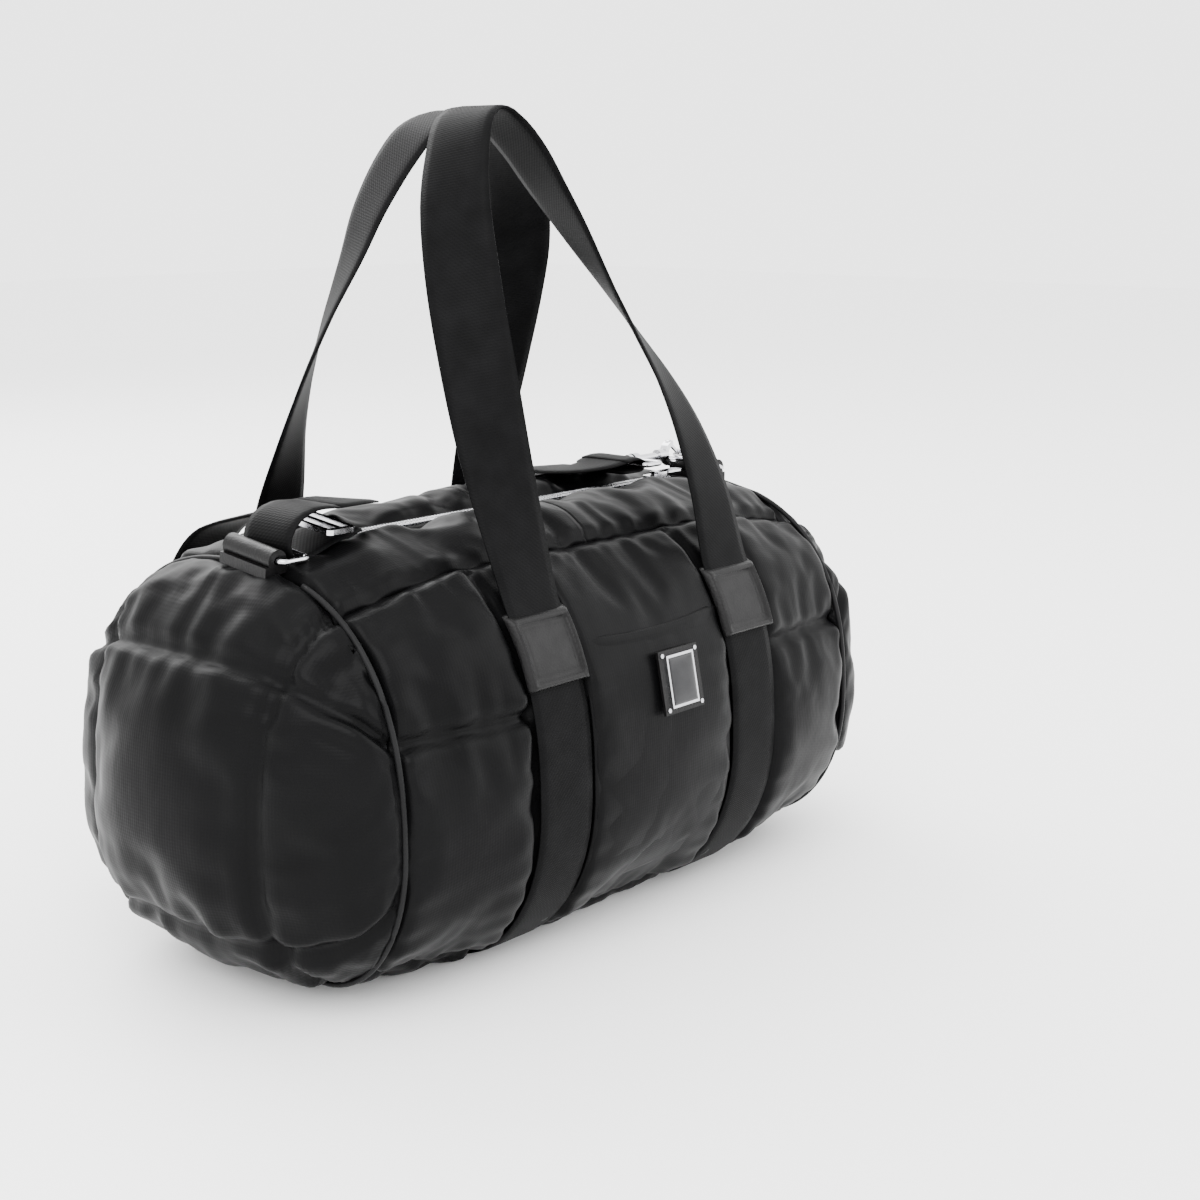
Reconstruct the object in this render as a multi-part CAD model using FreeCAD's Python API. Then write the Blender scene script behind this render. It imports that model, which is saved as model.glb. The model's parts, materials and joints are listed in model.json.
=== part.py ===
import FreeCAD, Part
import math
import os
from FreeCAD import Vector

# Quilted nylon baby changing bag: a soft barrel duffel with two webbing handles and a shoulder strap.
# Frame: +X along the barrel, -Y the front with the pocket, +Z up. Origin under the bag's middle.

# Driving dimensions, millimetres
SEAM_X = 180.0            # end seams, where the barrel meets the two domed ends
MID_X = 110.0             # the barrel keeps one section up to here, then narrows to the end seams
DOME = 61.0               # how far each padded end stands out past its seam
HALF_WIDTH_MID = 122.5
HALF_WIDTH_END = 114.0
TOP_MID = 226.0
TOP_END = 215.0
WIDEST_Z = 92.0           # height at which the barrel is widest
BASE_HALF = 50.0          # half width of the flat underside
END_LIFT = 10.0           # how far the underside has risen off the floor at the end seams
ROUNDNESS = 2.5           # superellipse power of the upper half
WALL = 8.0                # nylon, wadding and nylon together
LINING = 1.0
TOP_SEAM_Y = 70.0         # seam between the side panels and the top
BASE_SEAM_Y = 82.0        # seam between the side panels and the underside

WEBBING = 38.0
WEBBING_THICK = 2.2
LEG_X = 78.0              # centre of each body strap and handle leg
PATCH_LOW = 153.0
PATCH_HIGH = 189.0
PATCH_WIDE = 43.0
PATCH_THICK = 3.0

MOUTH_X = 88.0            # half length of the part of the top that opens
FLAP_THICK = 7.0
FLAP_SWING = 60.0         # how far the mouth's sides fold out, degrees
ZIP_X = 150.0             # half length of the whole zip
ZIP_Z = 219.0             # middle of the zip teeth, down in the valley between the padded sides
CHANNEL_Y = 11.0          # each padded side stops this far from the zip's centre line
TAPE_THICK = 1.0
TOOTH_IN = 0.8
TOOTH_OUT = 3.2
TOOTH_HIGH = 2.4
TOOTH_PITCH = 4.0

RING_WIRE = 1.5           # radius of the rings' wire
RING_HALF = 21.5          # half the ring's length between wire centres
RING_REACH = 16.0         # from the wire in the tab to the outer bar
TAB_ROLL = 5.5            # outer radius of the leather roll that holds the ring
TAB_BORE = 2.0

GAP = 0.4                 # air kept between pieces of different bodies
BIG = 400.0               # reach of cutting boxes, beyond the whole bag
TOP_ZONE_Z = 150.0        # cutting boxes for the top start above this height
BASE_ZONE_Z = 60.0        # and those for the underside end below this one

NOTCH_MARGIN = 6.0        # degrees the flap's seam edge is cut back beyond its swing
NOTCH_LIP = 0.3           # how much of that edge stays upright
NOTCH_REACH = 60.0

SLIDER_X = 139.0          # the slider's place on the closed zip
SLIDER_LONG = 15.0
SLIDER_WIDE = 10.0
SLIDER_POST = (5.0, 1.5)  # the post between the plates, measured back from the slider's nose
PLATE = 1.2
PIN_LIFT = 1.1            # the puller's pin above the slider's upper plate
PIN_RADIUS = 0.6
PIN_HOLE = 0.75
LUG_HALF = (2.2, 1.5)     # half length and half width of the lug that holds the puller
PULLER_THICK = 1.2
PULLER_HALF = 3.4         # half width over the puller's two arms
PULLER_ARM = 1.4
PULLER_REACH = 23.0       # from the pin to the puller's free end

POCKET_X = 56.0
POCKET_LOW = 34.0
POCKET_HIGH = 171.0
POCKET_THICK = 7.0

BADGE_X = 7.0
BADGE_Z = 141.0
BADGE_HALF = (11.0, 14.0)           # the metal plate's half width and half height
BACKING_HALF = (16.0, 17.0)
BACKING_THICK = 1.6
PLATE_FACE = 2.8                    # the plate's face, from the backing's back
RIVET_AT = (13.5, 14.5)
RIVET_RADIUS = 1.2
RIVET_FACE = 2.4

HANDLE_THICK = 2.4

LEFT_RING_Y = -14.0
RIGHT_RING_Y = 2.0
RING_Z = 222.5
PIN_X = 182.0             # the rings' inner bars
LEFT_TILT = 7.0           # the left tab and ring follow the slope of the top
RIGHT_LIFT = 22.0         # the right ring stands up a little, drawn by the hook
RING_CORNER = 3.0
TAB_REACH = 17.5          # half length of the leather roll
TAB_FOOT = 7.0            # half width of the foot sewn into the seam
CORD_OUT = 1.8            # the corded end seams stand out this far
CORD_WIDE = 3.0
CORD_BREAK = 19.0         # the cord stops this far either side of a tab

LOOP_THICK = 2.0
LOOP_WIDE = 36.0
STRAP_SLIDER_X = -145.0
STRAP_SLIDER_Z = 233.2
STRAP_SLIDER_HALF = (9.0, 23.0)
STRAP_SLIDER_SLOT = (1.6, 6.4, 19.6)

SWIVEL_Y = 10.0
SWIVEL_Z = 231.0
JAW_X = 166.6
JAW_Z = 231.4
JAW_OUTER = 8.2
JAW_INNER = 5.2
JAW_ARC = (98, 372)       # where the jaw starts and ends, degrees from +X
LIP_INNER = 6.6           # the jaw's tip is thinner, so that the gate closes against its inner side
LIP_ARC = (-8, 20)
PIVOT_ANGLE = 108.0       # the gate's pivot on the jaw, degrees from +X
PIVOT_RADIUS = 6.7
PIVOT_PIN = 0.8
PIVOT_BORE = 0.95
PIVOT_BOSS = 2.0
PIVOT_SLOT = 2.5
GATE_END = (5.6, 4.0)     # radius and angle of the gate's free end
HOOK_THICK = 5.0
GATE_THICK = 2.0
GATE_DEEP = 1.5
EYE_OUTER_X = 117.0
EYE_INNER_X = 131.0
EYE_COLLAR = (2.4, 4.0)   # half length and radius
SHANK = 2.3
SHANK_ROOM = 0.2
HEAD = (3.6, 6.4, 3.6)    # start and end behind the eye, and radius
COLLAR = (6.2, 14.0, 3.8)

# station: x, distance from the bag's middle plane, z, turn of the ribbon's width from +X towards -Y
FRONT_HANDLE = [
    (-78, -100.5, 192.5, 0), (-79, -91, 222, 8), (-79, -77, 265, 25), (-77, -63, 310, 42),
    (-74, -51, 350, 55), (-67, -39, 388, 70), (-54, -29, 417, 82), (-41, -22, 431, 88),
    (-28, -20.5, 435, 90), (-16, -22, 428, 92), (-5, -28, 414, 96), (6, -34, 395, 102),
    (18, -40, 375, 110), (30, -47, 353, 121), (40, -54, 334, 131), (50, -61, 315, 140),
    (62, -70, 291, 151), (72, -80, 262, 163), (77, -91, 228, 173), (78, -100.5, 192.5, 180)]
BACK_HANDLE = [
    (-78, 100.5, 192.5, 180), (-79, 91, 225, 170), (-80, 79, 259, 152), (-77, 68, 292, 139),
    (-70, 58, 325, 126), (-60, 48, 358, 113), (-52, 41, 384, 104), (-41, 32, 409, 97),
    (-28, 25, 426, 93), (-8, 20.5, 434, 90), (14, 21, 431, 88), (33, 26, 417, 82),
    (48, 32, 401, 75), (59, 38, 385, 67), (67, 46, 362, 56), (71, 56, 334, 44),
    (73, 66, 303, 31), (75, 77, 268, 19), (77, 90, 230, 8), (78, 100.5, 192.5, 0)]

# the slack loop of webbing through the left ring: x and z along it, from its lower layer, up round
# the ring's bar and over to its upper layer
LEFT_LOOP = [(-128.5, 228.0), (-138, 226.0), (-148, 223.6), (-159, 219.8), (-167, 218.8),
             (-173.4, 222.5), (-173.0, 230.5), (-167, 238.0), (-156, 241.8), (-142, 241.2),
             (-128.5, 238.2)]
RIGHT_LOOP = [(103, 227.4), (111, 227.3), (117, 227.6), (120.6, 231.0), (117, 234.4),
              (110, 234.6), (103, 233.6)]

# Shoulder strap: over the back edge, down behind the bag, along the floor and up again.
# Stations as for the handles; it twists a quarter turn on the way down and another on the way up.
STRAP_DOWN = [
    (-112, 38, 231, 0), (-117, 66, 226, 0), (-122, 90, 214, 0), (-124, 108, 195, 0),
    (-124, 123, 168, -4), (-123, 134, 138, -16), (-119, 141, 108, -32), (-112, 146, 76, -50),
    (-101, 150, 46, -66), (-86, 152, 21, -78), (-66, 153, 7, -86), (-40, 153, 2.4, -90)]
STRAP_UP = [
    (0, 154, 2.2, -90), (40, 153, 2.4, -90), (66, 153, 7, -94), (86, 152, 21, -102),
    (101, 150, 46, -114), (112, 146, 76, -130), (119, 141, 108, -148), (123, 134, 138, -164),
    (124, 123, 168, -176), (124, 108, 195, -180), (122, 90, 214, -180), (118, 66, 226, -180),
    (115, 52, 229.5, -180), (113, 38, 231.5, -180)]


def blend_factor(x):
    """How far the section has grown from the end seam's size (0) to the middle's size (1)."""
    ax = abs(x)
    if ax <= MID_X:
        return 1.0
    return max(0.0, (SEAM_X - ax) / (SEAM_X - MID_X))


def section(x, inset=0.0):
    """Half width, top, widest height, bottom and base half width of the barrel at x."""
    grown = blend_factor(x)
    half = HALF_WIDTH_END + (HALF_WIDTH_MID - HALF_WIDTH_END) * grown - inset
    top = TOP_END + (TOP_MID - TOP_END) * grown - inset
    bottom = inset + END_LIFT * (1 - grown)
    base = BASE_HALF
    beyond = abs(x) - SEAM_X
    if beyond > 0:
        depth = DOME - inset
        share = min(beyond / depth, 0.995)
        shrink = (1 - share ** 1.9) ** (1 / 1.9)
        middle = WIDEST_Z
        half *= shrink
        top = middle + (top - middle) * shrink
        bottom = middle - (middle - bottom) * shrink
        base *= shrink
    return half, top, WIDEST_Z, bottom, base


def upper_point(half, top, widest, angle):
    """A point (y, z) on the superellipse that closes the barrel's upper half."""
    c = math.cos(angle)
    s = math.sin(angle)
    y = half * math.copysign(abs(c) ** (2 / ROUNDNESS), c)
    z = widest + (top - widest) * abs(s) ** (2 / ROUNDNESS)
    return y, z


def curve(points):
    spline = Part.BSplineCurve()
    spline.interpolate(points)
    return spline.toShape()


def section_edges(x, half, top, widest, bottom, base):
    """The closed outline as five edges: two lower quarter ellipses, two upper halves and the base."""
    lower = []
    steps = 8
    for i in range(steps + 1):
        a = math.pi / 2 * i / steps
        y = base + (half - base) * math.sin(a)
        z = widest - (widest - bottom) * math.cos(a)
        lower.append((y, z))
    upper = []
    steps = 12
    for i in range(steps + 1):
        # points crowd towards the shoulders, where the outline bends most
        a = math.pi / 2 * i / steps
        upper.append(upper_point(half, top, widest, a))
    right_low = curve([Vector(x, y, z) for y, z in lower])
    right_up = curve([Vector(x, y, z) for y, z in upper])
    left_up = curve([Vector(x, -y, z) for y, z in reversed(upper)])
    left_low = curve([Vector(x, -y, z) for y, z in reversed(lower)])
    floor = Part.makeLine(Vector(x, -base, bottom), Vector(x, base, bottom))
    return [right_low, right_up, left_up, left_low, floor]


def section_wire(x, inset=0.0):
    return Part.Wire(section_edges(x, *section(x, inset)))


def body_form(inset):
    """The whole closed form of the bag, `inset` inside its outer skin."""
    shares = [0.995, 0.93, 0.8, 0.62, 0.42, 0.22]
    depth = DOME - inset
    stations = [SEAM_X + depth * s for s in shares] + [SEAM_X, MID_X]
    stations = [-x for x in stations] + list(reversed(stations))
    return Part.makeLoft([section_wire(x, inset) for x in stations], True, True)


def middle_face(outset):
    """The middle section grown by `outset`, as a face at x = 0, for layers laid on the barrel."""
    half, top, widest = section(0.0, -outset)[:3]
    return Part.Face(Part.Wire(section_edges(0.0, half, top, widest, 0.0, BASE_HALF)))


def layer(inner, outer, x_from, x_to):
    """A layer of constant section that wraps the barrel's middle between two outsets."""
    ring = middle_face(outer).cut(middle_face(inner))
    ring.translate(Vector(x_from, 0, 0))
    return ring.extrude(Vector(x_to - x_from, 0, 0))


def box(x0, x1, y0, y1, z0, z1):
    return Part.makeBox(x1 - x0, y1 - y0, z1 - z0, Vector(x0, y0, z0))


def mirror_y(shape):
    return shape.mirror(Vector(0, 0, 0), Vector(0, 1, 0))


def rod(start, end, radius):
    axis = end - start
    return Part.makeCylinder(radius, axis.Length, start, axis)


def solids_of(shape):
    return shape.Solids[0] if len(shape.Solids) == 1 else Part.makeCompound(shape.Solids)


def save(name, shape):
    shape = solids_of(shape)
    if not shape.isValid():
        print("not valid:", name)
    shape.exportStep("parts/" + name + ".step")


# Shell, cut from one hollow form along the seams


def build_shell():
    outer = body_form(0.0)
    hollow = body_form(WALL)
    wall = outer.cut(hollow)
    for side, name in ((-1, "left_end_panel"), (1, "right_end_panel")):
        keep = box(min(side * SEAM_X, side * BIG), max(side * SEAM_X, side * BIG), -BIG, BIG, -BIG, BIG)
        save(name, wall.common(keep))
    barrel = wall.common(box(-SEAM_X, SEAM_X, -BIG, BIG, -BIG, BIG))
    top_zone = box(-SEAM_X, SEAM_X, -TOP_SEAM_Y, TOP_SEAM_Y, TOP_ZONE_Z, BIG)
    base_zone = box(-SEAM_X, SEAM_X, -BASE_SEAM_Y, BASE_SEAM_Y, -10.0, BASE_ZONE_Z)
    front_zone = box(-SEAM_X, SEAM_X, -BIG, 0.0, -BIG, BIG)
    front = barrel.common(front_zone).cut(top_zone).cut(base_zone)
    save("front_panel", front)
    save("back_panel", mirror_y(front))
    base = barrel.common(base_zone)
    for x in (-LEG_X, LEG_X):
        base = base.cut(webbing_groove(x))
    save("base_panel", base)
    top = barrel.common(top_zone)
    channel = box(-ZIP_X - 8, ZIP_X + 8, -CHANNEL_Y, CHANNEL_Y, TOP_ZONE_Z, BIG)
    top = top.cut(channel)
    for side, name in ((-1, "left_top_panel"), (1, "right_top_panel")):
        start = side * (MOUTH_X + GAP)
        keep = box(min(start, side * SEAM_X), max(start, side * SEAM_X), -BIG, BIG, -BIG, BIG)
        save(name, top.common(keep))
    lining = hollow.cut(body_form(WALL + LINING))
    lining = lining.cut(box(-ZIP_X - 8, ZIP_X + 8, -TOP_SEAM_Y, TOP_SEAM_Y, TOP_ZONE_Z, BIG))
    save("lining", lining)
    save("base_board", rounded_plate(-107, 107, -46, 46, WALL + LINING + 0.2, 3.0, 12.0))


def rounded_plate(x0, x1, y0, y1, z, thick, corner):
    plate = box(x0, x1, y0, y1, z, z + thick)
    edges = [e for e in plate.Edges if abs(e.Vertexes[0].Z - e.Vertexes[1].Z) > thick / 2]
    return plate.makeFillet(corner, edges)


# Mouth: two padded flaps with their zip tapes and teeth


def build_flaps():
    seam_z = hinge_height()
    ring = layer(-FLAP_THICK, 0.0, -MOUTH_X, MOUTH_X)
    flap = ring.common(box(-MOUTH_X, MOUTH_X, -TOP_SEAM_Y + GAP, -CHANNEL_Y, TOP_ZONE_Z, BIG))
    # the seam edge is cut back so that the flap can fold out without meeting the side panel
    inward = NOTCH_REACH * math.tan(math.radians(FLAP_SWING + NOTCH_MARGIN))
    low = seam_z - NOTCH_REACH
    notch = Part.makePolygon([
        Vector(-MOUTH_X, -TOP_SEAM_Y - 20, low),
        Vector(-MOUTH_X, -TOP_SEAM_Y + GAP, seam_z - NOTCH_LIP),
        Vector(-MOUTH_X, -TOP_SEAM_Y + GAP + inward, low - NOTCH_LIP),
        Vector(-MOUTH_X, -TOP_SEAM_Y - 20, low),
    ])
    flap = flap.cut(Part.Face(notch).extrude(Vector(2 * MOUTH_X, 0, 0)))
    save("front_flap", flap)
    save("back_flap", mirror_y(flap))
    tape = zip_tape(-MOUTH_X, MOUTH_X)
    save("front_zip_tape", tape)
    save("back_zip_tape", mirror_y(tape))
    teeth = teeth_row(-MOUTH_X, MOUTH_X)
    save("front_zip_teeth", teeth)
    save("back_zip_teeth", mirror_y(teeth))


def hinge_height():
    """Height of the outer skin above the top seam, in the barrel's middle."""
    power = ROUNDNESS
    share = (1 - (TOP_SEAM_Y / HALF_WIDTH_MID) ** power) ** (1 / power)
    return WIDEST_Z + (TOP_MID - WIDEST_Z) * share


def zip_tape(x0, x1):
    return box(x0, x1, -CHANNEL_Y, -TOOTH_OUT, ZIP_Z - TAPE_THICK / 2, ZIP_Z + TAPE_THICK / 2)


def teeth_row(x0, x1):
    """A comb: a bead along the tape's edge with teeth that point at the other row."""
    points = [Vector(x0, -TOOTH_OUT, 0)]
    count = int((x1 - x0) / TOOTH_PITCH)
    spare = (x1 - x0 - count * TOOTH_PITCH) / 2
    root_y = -TOOTH_OUT + 0.8
    points.append(Vector(x0, root_y, 0))
    for i in range(count):
        start = x0 + spare + i * TOOTH_PITCH + TOOTH_PITCH * 0.2
        end = start + TOOTH_PITCH * 0.6
        points.append(Vector(start, root_y, 0))
        points.append(Vector(start, -TOOTH_IN, 0))
        points.append(Vector(end, -TOOTH_IN, 0))
        points.append(Vector(end, root_y, 0))
    points.append(Vector(x1, root_y, 0))
    points.append(Vector(x1, -TOOTH_OUT, 0))
    points.append(points[0])
    face = Part.Face(Part.makePolygon(points))
    face.translate(Vector(0, 0, ZIP_Z - TOOTH_HIGH / 2))
    return face.extrude(Vector(0, 0, TOOTH_HIGH))


def build_zip_ends():
    """The zip's two ends, which stay sewn to the bag, each with tapes, teeth and a stop."""
    for side, name in ((-1, "left"), (1, "right")):
        x0, x1 = sorted((side * (MOUTH_X + GAP), side * ZIP_X))
        tapes = [zip_tape(x0, x1), mirror_y(zip_tape(x0, x1))]
        save(name + "_zip_end_tapes", Part.makeCompound(tapes))
        rows = [teeth_row(x0, x1), mirror_y(teeth_row(x0, x1))]
        save(name + "_zip_end_teeth", Part.makeCompound(rows))
        stop_x0, stop_x1 = sorted((side * (ZIP_X + 0.2), side * (ZIP_X + 7.0)))
        stop = box(stop_x0, stop_x1, -CHANNEL_Y, CHANNEL_Y, ZIP_Z - 3.0, ZIP_Z + 0.5)
        save(name + "_zip_stop", stop)


def build_slider():
    half = SLIDER_WIDE / 2
    x0 = SLIDER_X - SLIDER_LONG / 2
    x1 = SLIDER_X + SLIDER_LONG / 2
    upper_z = ZIP_Z + TOOTH_HIGH / 2 + GAP
    lower_z = ZIP_Z - TOOTH_HIGH / 2 - GAP - PLATE
    upper = rounded_plate(x0, x1, -half, half, upper_z, PLATE, 3.0)
    lower = rounded_plate(x0, x1, -half, half, lower_z, PLATE, 3.0)
    post = box(x1 - SLIDER_POST[0], x1 - SLIDER_POST[1], -0.4, 0.4, lower_z + 0.3, upper_z + 0.3)
    lug_z = upper_z + PLATE + PIN_LIFT
    long, wide = LUG_HALF
    lug = box(SLIDER_X - long, SLIDER_X + long, -wide, wide, upper_z + 0.5, lug_z + 1.3)
    hole = rod(Vector(SLIDER_X, -half, lug_z), Vector(SLIDER_X, half, lug_z), PIN_HOLE)
    save("zip_slider", upper.fuse(lower).fuse(post).fuse(lug).cut(hole))
    pin = rod(Vector(SLIDER_X, -3.0, lug_z), Vector(SLIDER_X, 3.0, lug_z), PIN_RADIUS)
    arm_z = lug_z - PULLER_THICK / 2
    bridge = box(SLIDER_X + 4.0, SLIDER_X + 7.5, -PULLER_HALF, PULLER_HALF, arm_z, arm_z + PULLER_THICK)
    blade_end = SLIDER_X + PULLER_REACH
    blade = rounded_plate(SLIDER_X + 7.0, blade_end, -3.6, 3.6, arm_z, PULLER_THICK, 2.5)
    puller = bridge.fuse(blade).fuse(pin)
    for y in (-PULLER_HALF, PULLER_HALF - PULLER_ARM):
        arm = box(SLIDER_X - 0.9, SLIDER_X + 5.0, y, y + PULLER_ARM, arm_z, arm_z + PULLER_THICK)
        puller = puller.fuse(arm)
    save("zip_puller", puller)


# Body webbing, leather patches and the front pocket


def raised_face():
    """The middle section with its underside lifted by the webbing's thickness."""
    half, top, widest = section(0.0)[:3]
    return Part.Face(Part.Wire(section_edges(0.0, half, top, widest, WEBBING_THICK, BASE_HALF)))


def webbing_groove(x):
    """What is cut from the underside so that the webbing lies flush in it."""
    raised = raised_face()
    raised.translate(Vector(x - WEBBING / 2, 0, 0))
    room = box(x - WEBBING / 2, x + WEBBING / 2, -BASE_SEAM_Y, BASE_SEAM_Y, -10.0, WIDEST_Z)
    return room.cut(raised.extrude(Vector(WEBBING, 0, 0)))


def body_strap_ring(x):
    """Webbing round the barrel, on the skin at the sides and flush in a groove under the bag."""
    raised = raised_face()
    skin = middle_face(0.0)
    sides = skin.cut(box(-1, 1, -BASE_SEAM_Y, BASE_SEAM_Y, -10.0, WIDEST_Z))
    ring = middle_face(WEBBING_THICK).cut(raised).cut(sides)
    ring.translate(Vector(x - WEBBING / 2, 0, 0))
    return ring.extrude(Vector(WEBBING, 0, 0))


def build_webbing():
    for side, name in ((-1, "left_body_webbing"), (1, "right_body_webbing")):
        ring = body_strap_ring(side * LEG_X)
        ring = ring.cut(box(-BIG, BIG, -BIG, BIG, PATCH_HIGH, BIG))
        save(name, ring)
    for side, end in ((-1, "left"), (1, "right")):
        x0 = side * LEG_X - PATCH_WIDE / 2
        sheet = layer(WEBBING_THICK + 0.1, WEBBING_THICK + PATCH_THICK, x0, x0 + PATCH_WIDE)
        patch = sheet.common(box(-BIG, BIG, -BIG, 0, PATCH_LOW, PATCH_HIGH))
        save("front_" + end + "_patch", patch)
        save("back_" + end + "_patch", mirror_y(patch))


def build_pocket():
    """A padded patch pocket that lies flat and empty on the front panel."""
    pad = layer(0.0, POCKET_THICK, -POCKET_X, POCKET_X)
    save("front_pocket", pad.common(box(-BIG, BIG, -BIG, 0, POCKET_LOW, POCKET_HIGH)))


def build_badge():
    """A small plain metal plate on a leather backing, tilted to lie on the pocket."""
    half, top, widest = section(0.0, -POCKET_THICK)[:3]
    share = (BADGE_Z - widest) / (top - widest)
    y = -half * (1 - share ** ROUNDNESS) ** (1 / ROUNDNESS)
    slope = -(half / (top - widest)) * (share ** (ROUNDNESS - 1)) * (half / -y) ** (ROUNDNESS - 1)
    lean = math.degrees(math.atan(-slope))
    place = FreeCAD.Placement(Vector(BADGE_X, y - 1.0, BADGE_Z), FreeCAD.Rotation(Vector(1, 0, 0), -lean))
    wide, high = BACKING_HALF
    backing = box(-wide, wide, -BACKING_THICK, 0, -high, high)
    wide, high = BADGE_HALF
    plate = box(-wide, wide, -PLATE_FACE, -BACKING_THICK, -high, high)
    for name, shape in (("badge_backing", backing), ("badge_plate", plate)):
        shape.Placement = place
        save(name, shape)
    rivets = []
    for x in (-RIVET_AT[0], RIVET_AT[0]):
        for z in (-RIVET_AT[1], RIVET_AT[1]):
            rivet = rod(Vector(x, -RIVET_FACE, z), Vector(x, -BACKING_THICK, z), RIVET_RADIUS)
            rivet.Placement = place
            rivets.append(rivet)
    save("badge_rivets", Part.makeCompound(rivets))


# Handles: webbing ribbons that twist a quarter turn on the way up to the hand


def ribbon_frames(stations):
    """Centre and unit width vector at each station, with the width square to the run."""
    points = [Vector(x, y, z) for x, y, z, turn in stations]
    frames = []
    for i, (x, y, z, turn) in enumerate(stations):
        before = points[max(i - 1, 0)]
        after = points[min(i + 1, len(points) - 1)]
        run = after - before
        run.normalize()
        a = math.radians(turn)
        wide = Vector(math.cos(a), -math.sin(a), 0)
        wide = wide - run * wide.dot(run)
        wide.normalize()
        frames.append((points[i], run, wide))
    return frames


def ribbon(frames, width, thick):
    """A solid with ruled sides between rectangles set square to the run."""
    rings = []
    for centre, run, wide in frames:
        w = wide * (width / 2)
        t = wide.cross(run) * (thick / 2)
        rings.append([centre - w - t, centre + w - t, centre + w + t, centre - w + t])
    faces = [Part.Face(Part.makePolygon(ring + [ring[0]])) for ring in (rings[0], rings[-1])]
    for near, far in zip(rings, rings[1:]):
        for i in range(4):
            j = (i + 1) % 4
            first = Part.makeLine(near[i], near[j])
            second = Part.makeLine(far[i], far[j])
            faces.append(Part.makeRuledSurface(first, second))
    shell = Part.makeShell(faces)
    shell.sewShape()
    strip = Part.makeSolid(shell)
    if strip.Volume < 0:
        strip.reverse()
    return strip


def ribbon_length(frames):
    return sum((b[0] - a[0]).Length for a, b in zip(frames, frames[1:]))


def build_handles():
    for name, stations in (("front_handle", FRONT_HANDLE), ("back_handle", BACK_HANDLE)):
        frames = ribbon_frames(stations)
        save(name, ribbon(frames, WEBBING, HANDLE_THICK))
        print(name, "length", round(ribbon_length(frames)))


# End tabs, rings, and what the shoulder strap hangs from


def end_place(side):
    y = LEFT_RING_Y if side < 0 else RIGHT_RING_Y
    tilt = LEFT_TILT if side < 0 else 0.0
    return FreeCAD.Placement(Vector(side * PIN_X, y, RING_Z), FreeCAD.Rotation(Vector(1, 0, 0), tilt))


def build_tab(side, name):
    """A leather roll over the ring's inner wire, with a foot sewn into the end seam."""
    ends = Vector(0, TAB_REACH, 0)
    roll = rod(-ends, ends, TAB_ROLL)
    foot = box(-TAB_FOOT, TAB_FOOT, -TAB_REACH, TAB_REACH, -TAB_ROLL - 3.0, -TAB_ROLL + 2.5)
    bore = rod(ends * -2, ends * 2, TAB_BORE)
    tab = roll.fuse(foot).cut(bore)
    tab.Placement = end_place(side)
    tab = tab.cut(body_form(-0.05))
    save(name, max(tab.Solids, key=lambda s: s.Volume))


def bent_wire(points, radius, wire_radius):
    """A closed rectangle of round wire with rounded corners, in the plane of its points."""
    runs = []
    count = len(points)
    for i in range(count):
        here = points[i]
        back = points[i - 1] - here
        ahead = points[(i + 1) % count] - here
        back.normalize()
        ahead.normalize()
        start = here + back * radius
        end = here + ahead * radius
        centre = here + (back + ahead) * radius
        middle = here - centre
        middle.normalize()
        runs.append((start, centre + middle * radius, end))
    edges = []
    for i in range(count):
        start, middle, end = runs[i]
        edges.append(Part.Arc(start, middle, end).toShape())
        edges.append(Part.makeLine(end, runs[(i + 1) % count][0]))
    first = edges[1]
    direction = first.Vertexes[1].Point - first.Vertexes[0].Point
    profile = Part.Wire(Part.makeCircle(wire_radius, first.Vertexes[0].Point, direction))
    path = Part.Wire(edges[1:] + edges[:1])
    return path.makePipeShell([profile], True, False)


def build_ring(side, name):
    points = [Vector(0, -RING_HALF, 0), Vector(-side * RING_REACH, -RING_HALF, 0),
              Vector(-side * RING_REACH, RING_HALF, 0), Vector(0, RING_HALF, 0)]
    ring = bent_wire(points, RING_CORNER, RING_WIRE)
    if side > 0:
        ring.rotate(Vector(0, 0, 0), Vector(0, 1, 0), RIGHT_LIFT)
    ring.Placement = end_place(side).multiply(ring.Placement)
    save(name, ring)


def outline_band(points, thick, y_middle, width):
    """A strip of webbing whose edge follows a smooth line in a plane of constant y."""
    line = Part.BSplineCurve()
    line.interpolate([Vector(x, 0, z) for x, z in points])
    count = 60
    upper = []
    lower = []
    for i in range(count + 1):
        u = line.FirstParameter + (line.LastParameter - line.FirstParameter) * i / count
        here = line.value(u)
        run = line.tangent(u)[0]
        side = Vector(-run.z, 0, run.x) * (thick / 2)
        upper.append(here + side)
        lower.append(here - side)
    edges = [curve(upper), Part.makeLine(upper[-1], lower[-1]), curve(lower[::-1]),
             Part.makeLine(lower[0], upper[0])]
    face = Part.Face(Part.Wire(edges))
    face.translate(Vector(0, y_middle - width / 2, 0))
    return face.extrude(Vector(0, width, 0))


def build_loops():
    left = outline_band(LEFT_LOOP, LOOP_THICK, LEFT_RING_Y, LOOP_WIDE)
    left.rotate(Vector(0, LEFT_RING_Y, RING_Z), Vector(1, 0, 0), LEFT_TILT)
    save("left_strap_loop", left)
    save("right_strap_loop", outline_band(RIGHT_LOOP, LOOP_THICK, SWIVEL_Y, LOOP_WIDE))


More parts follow.
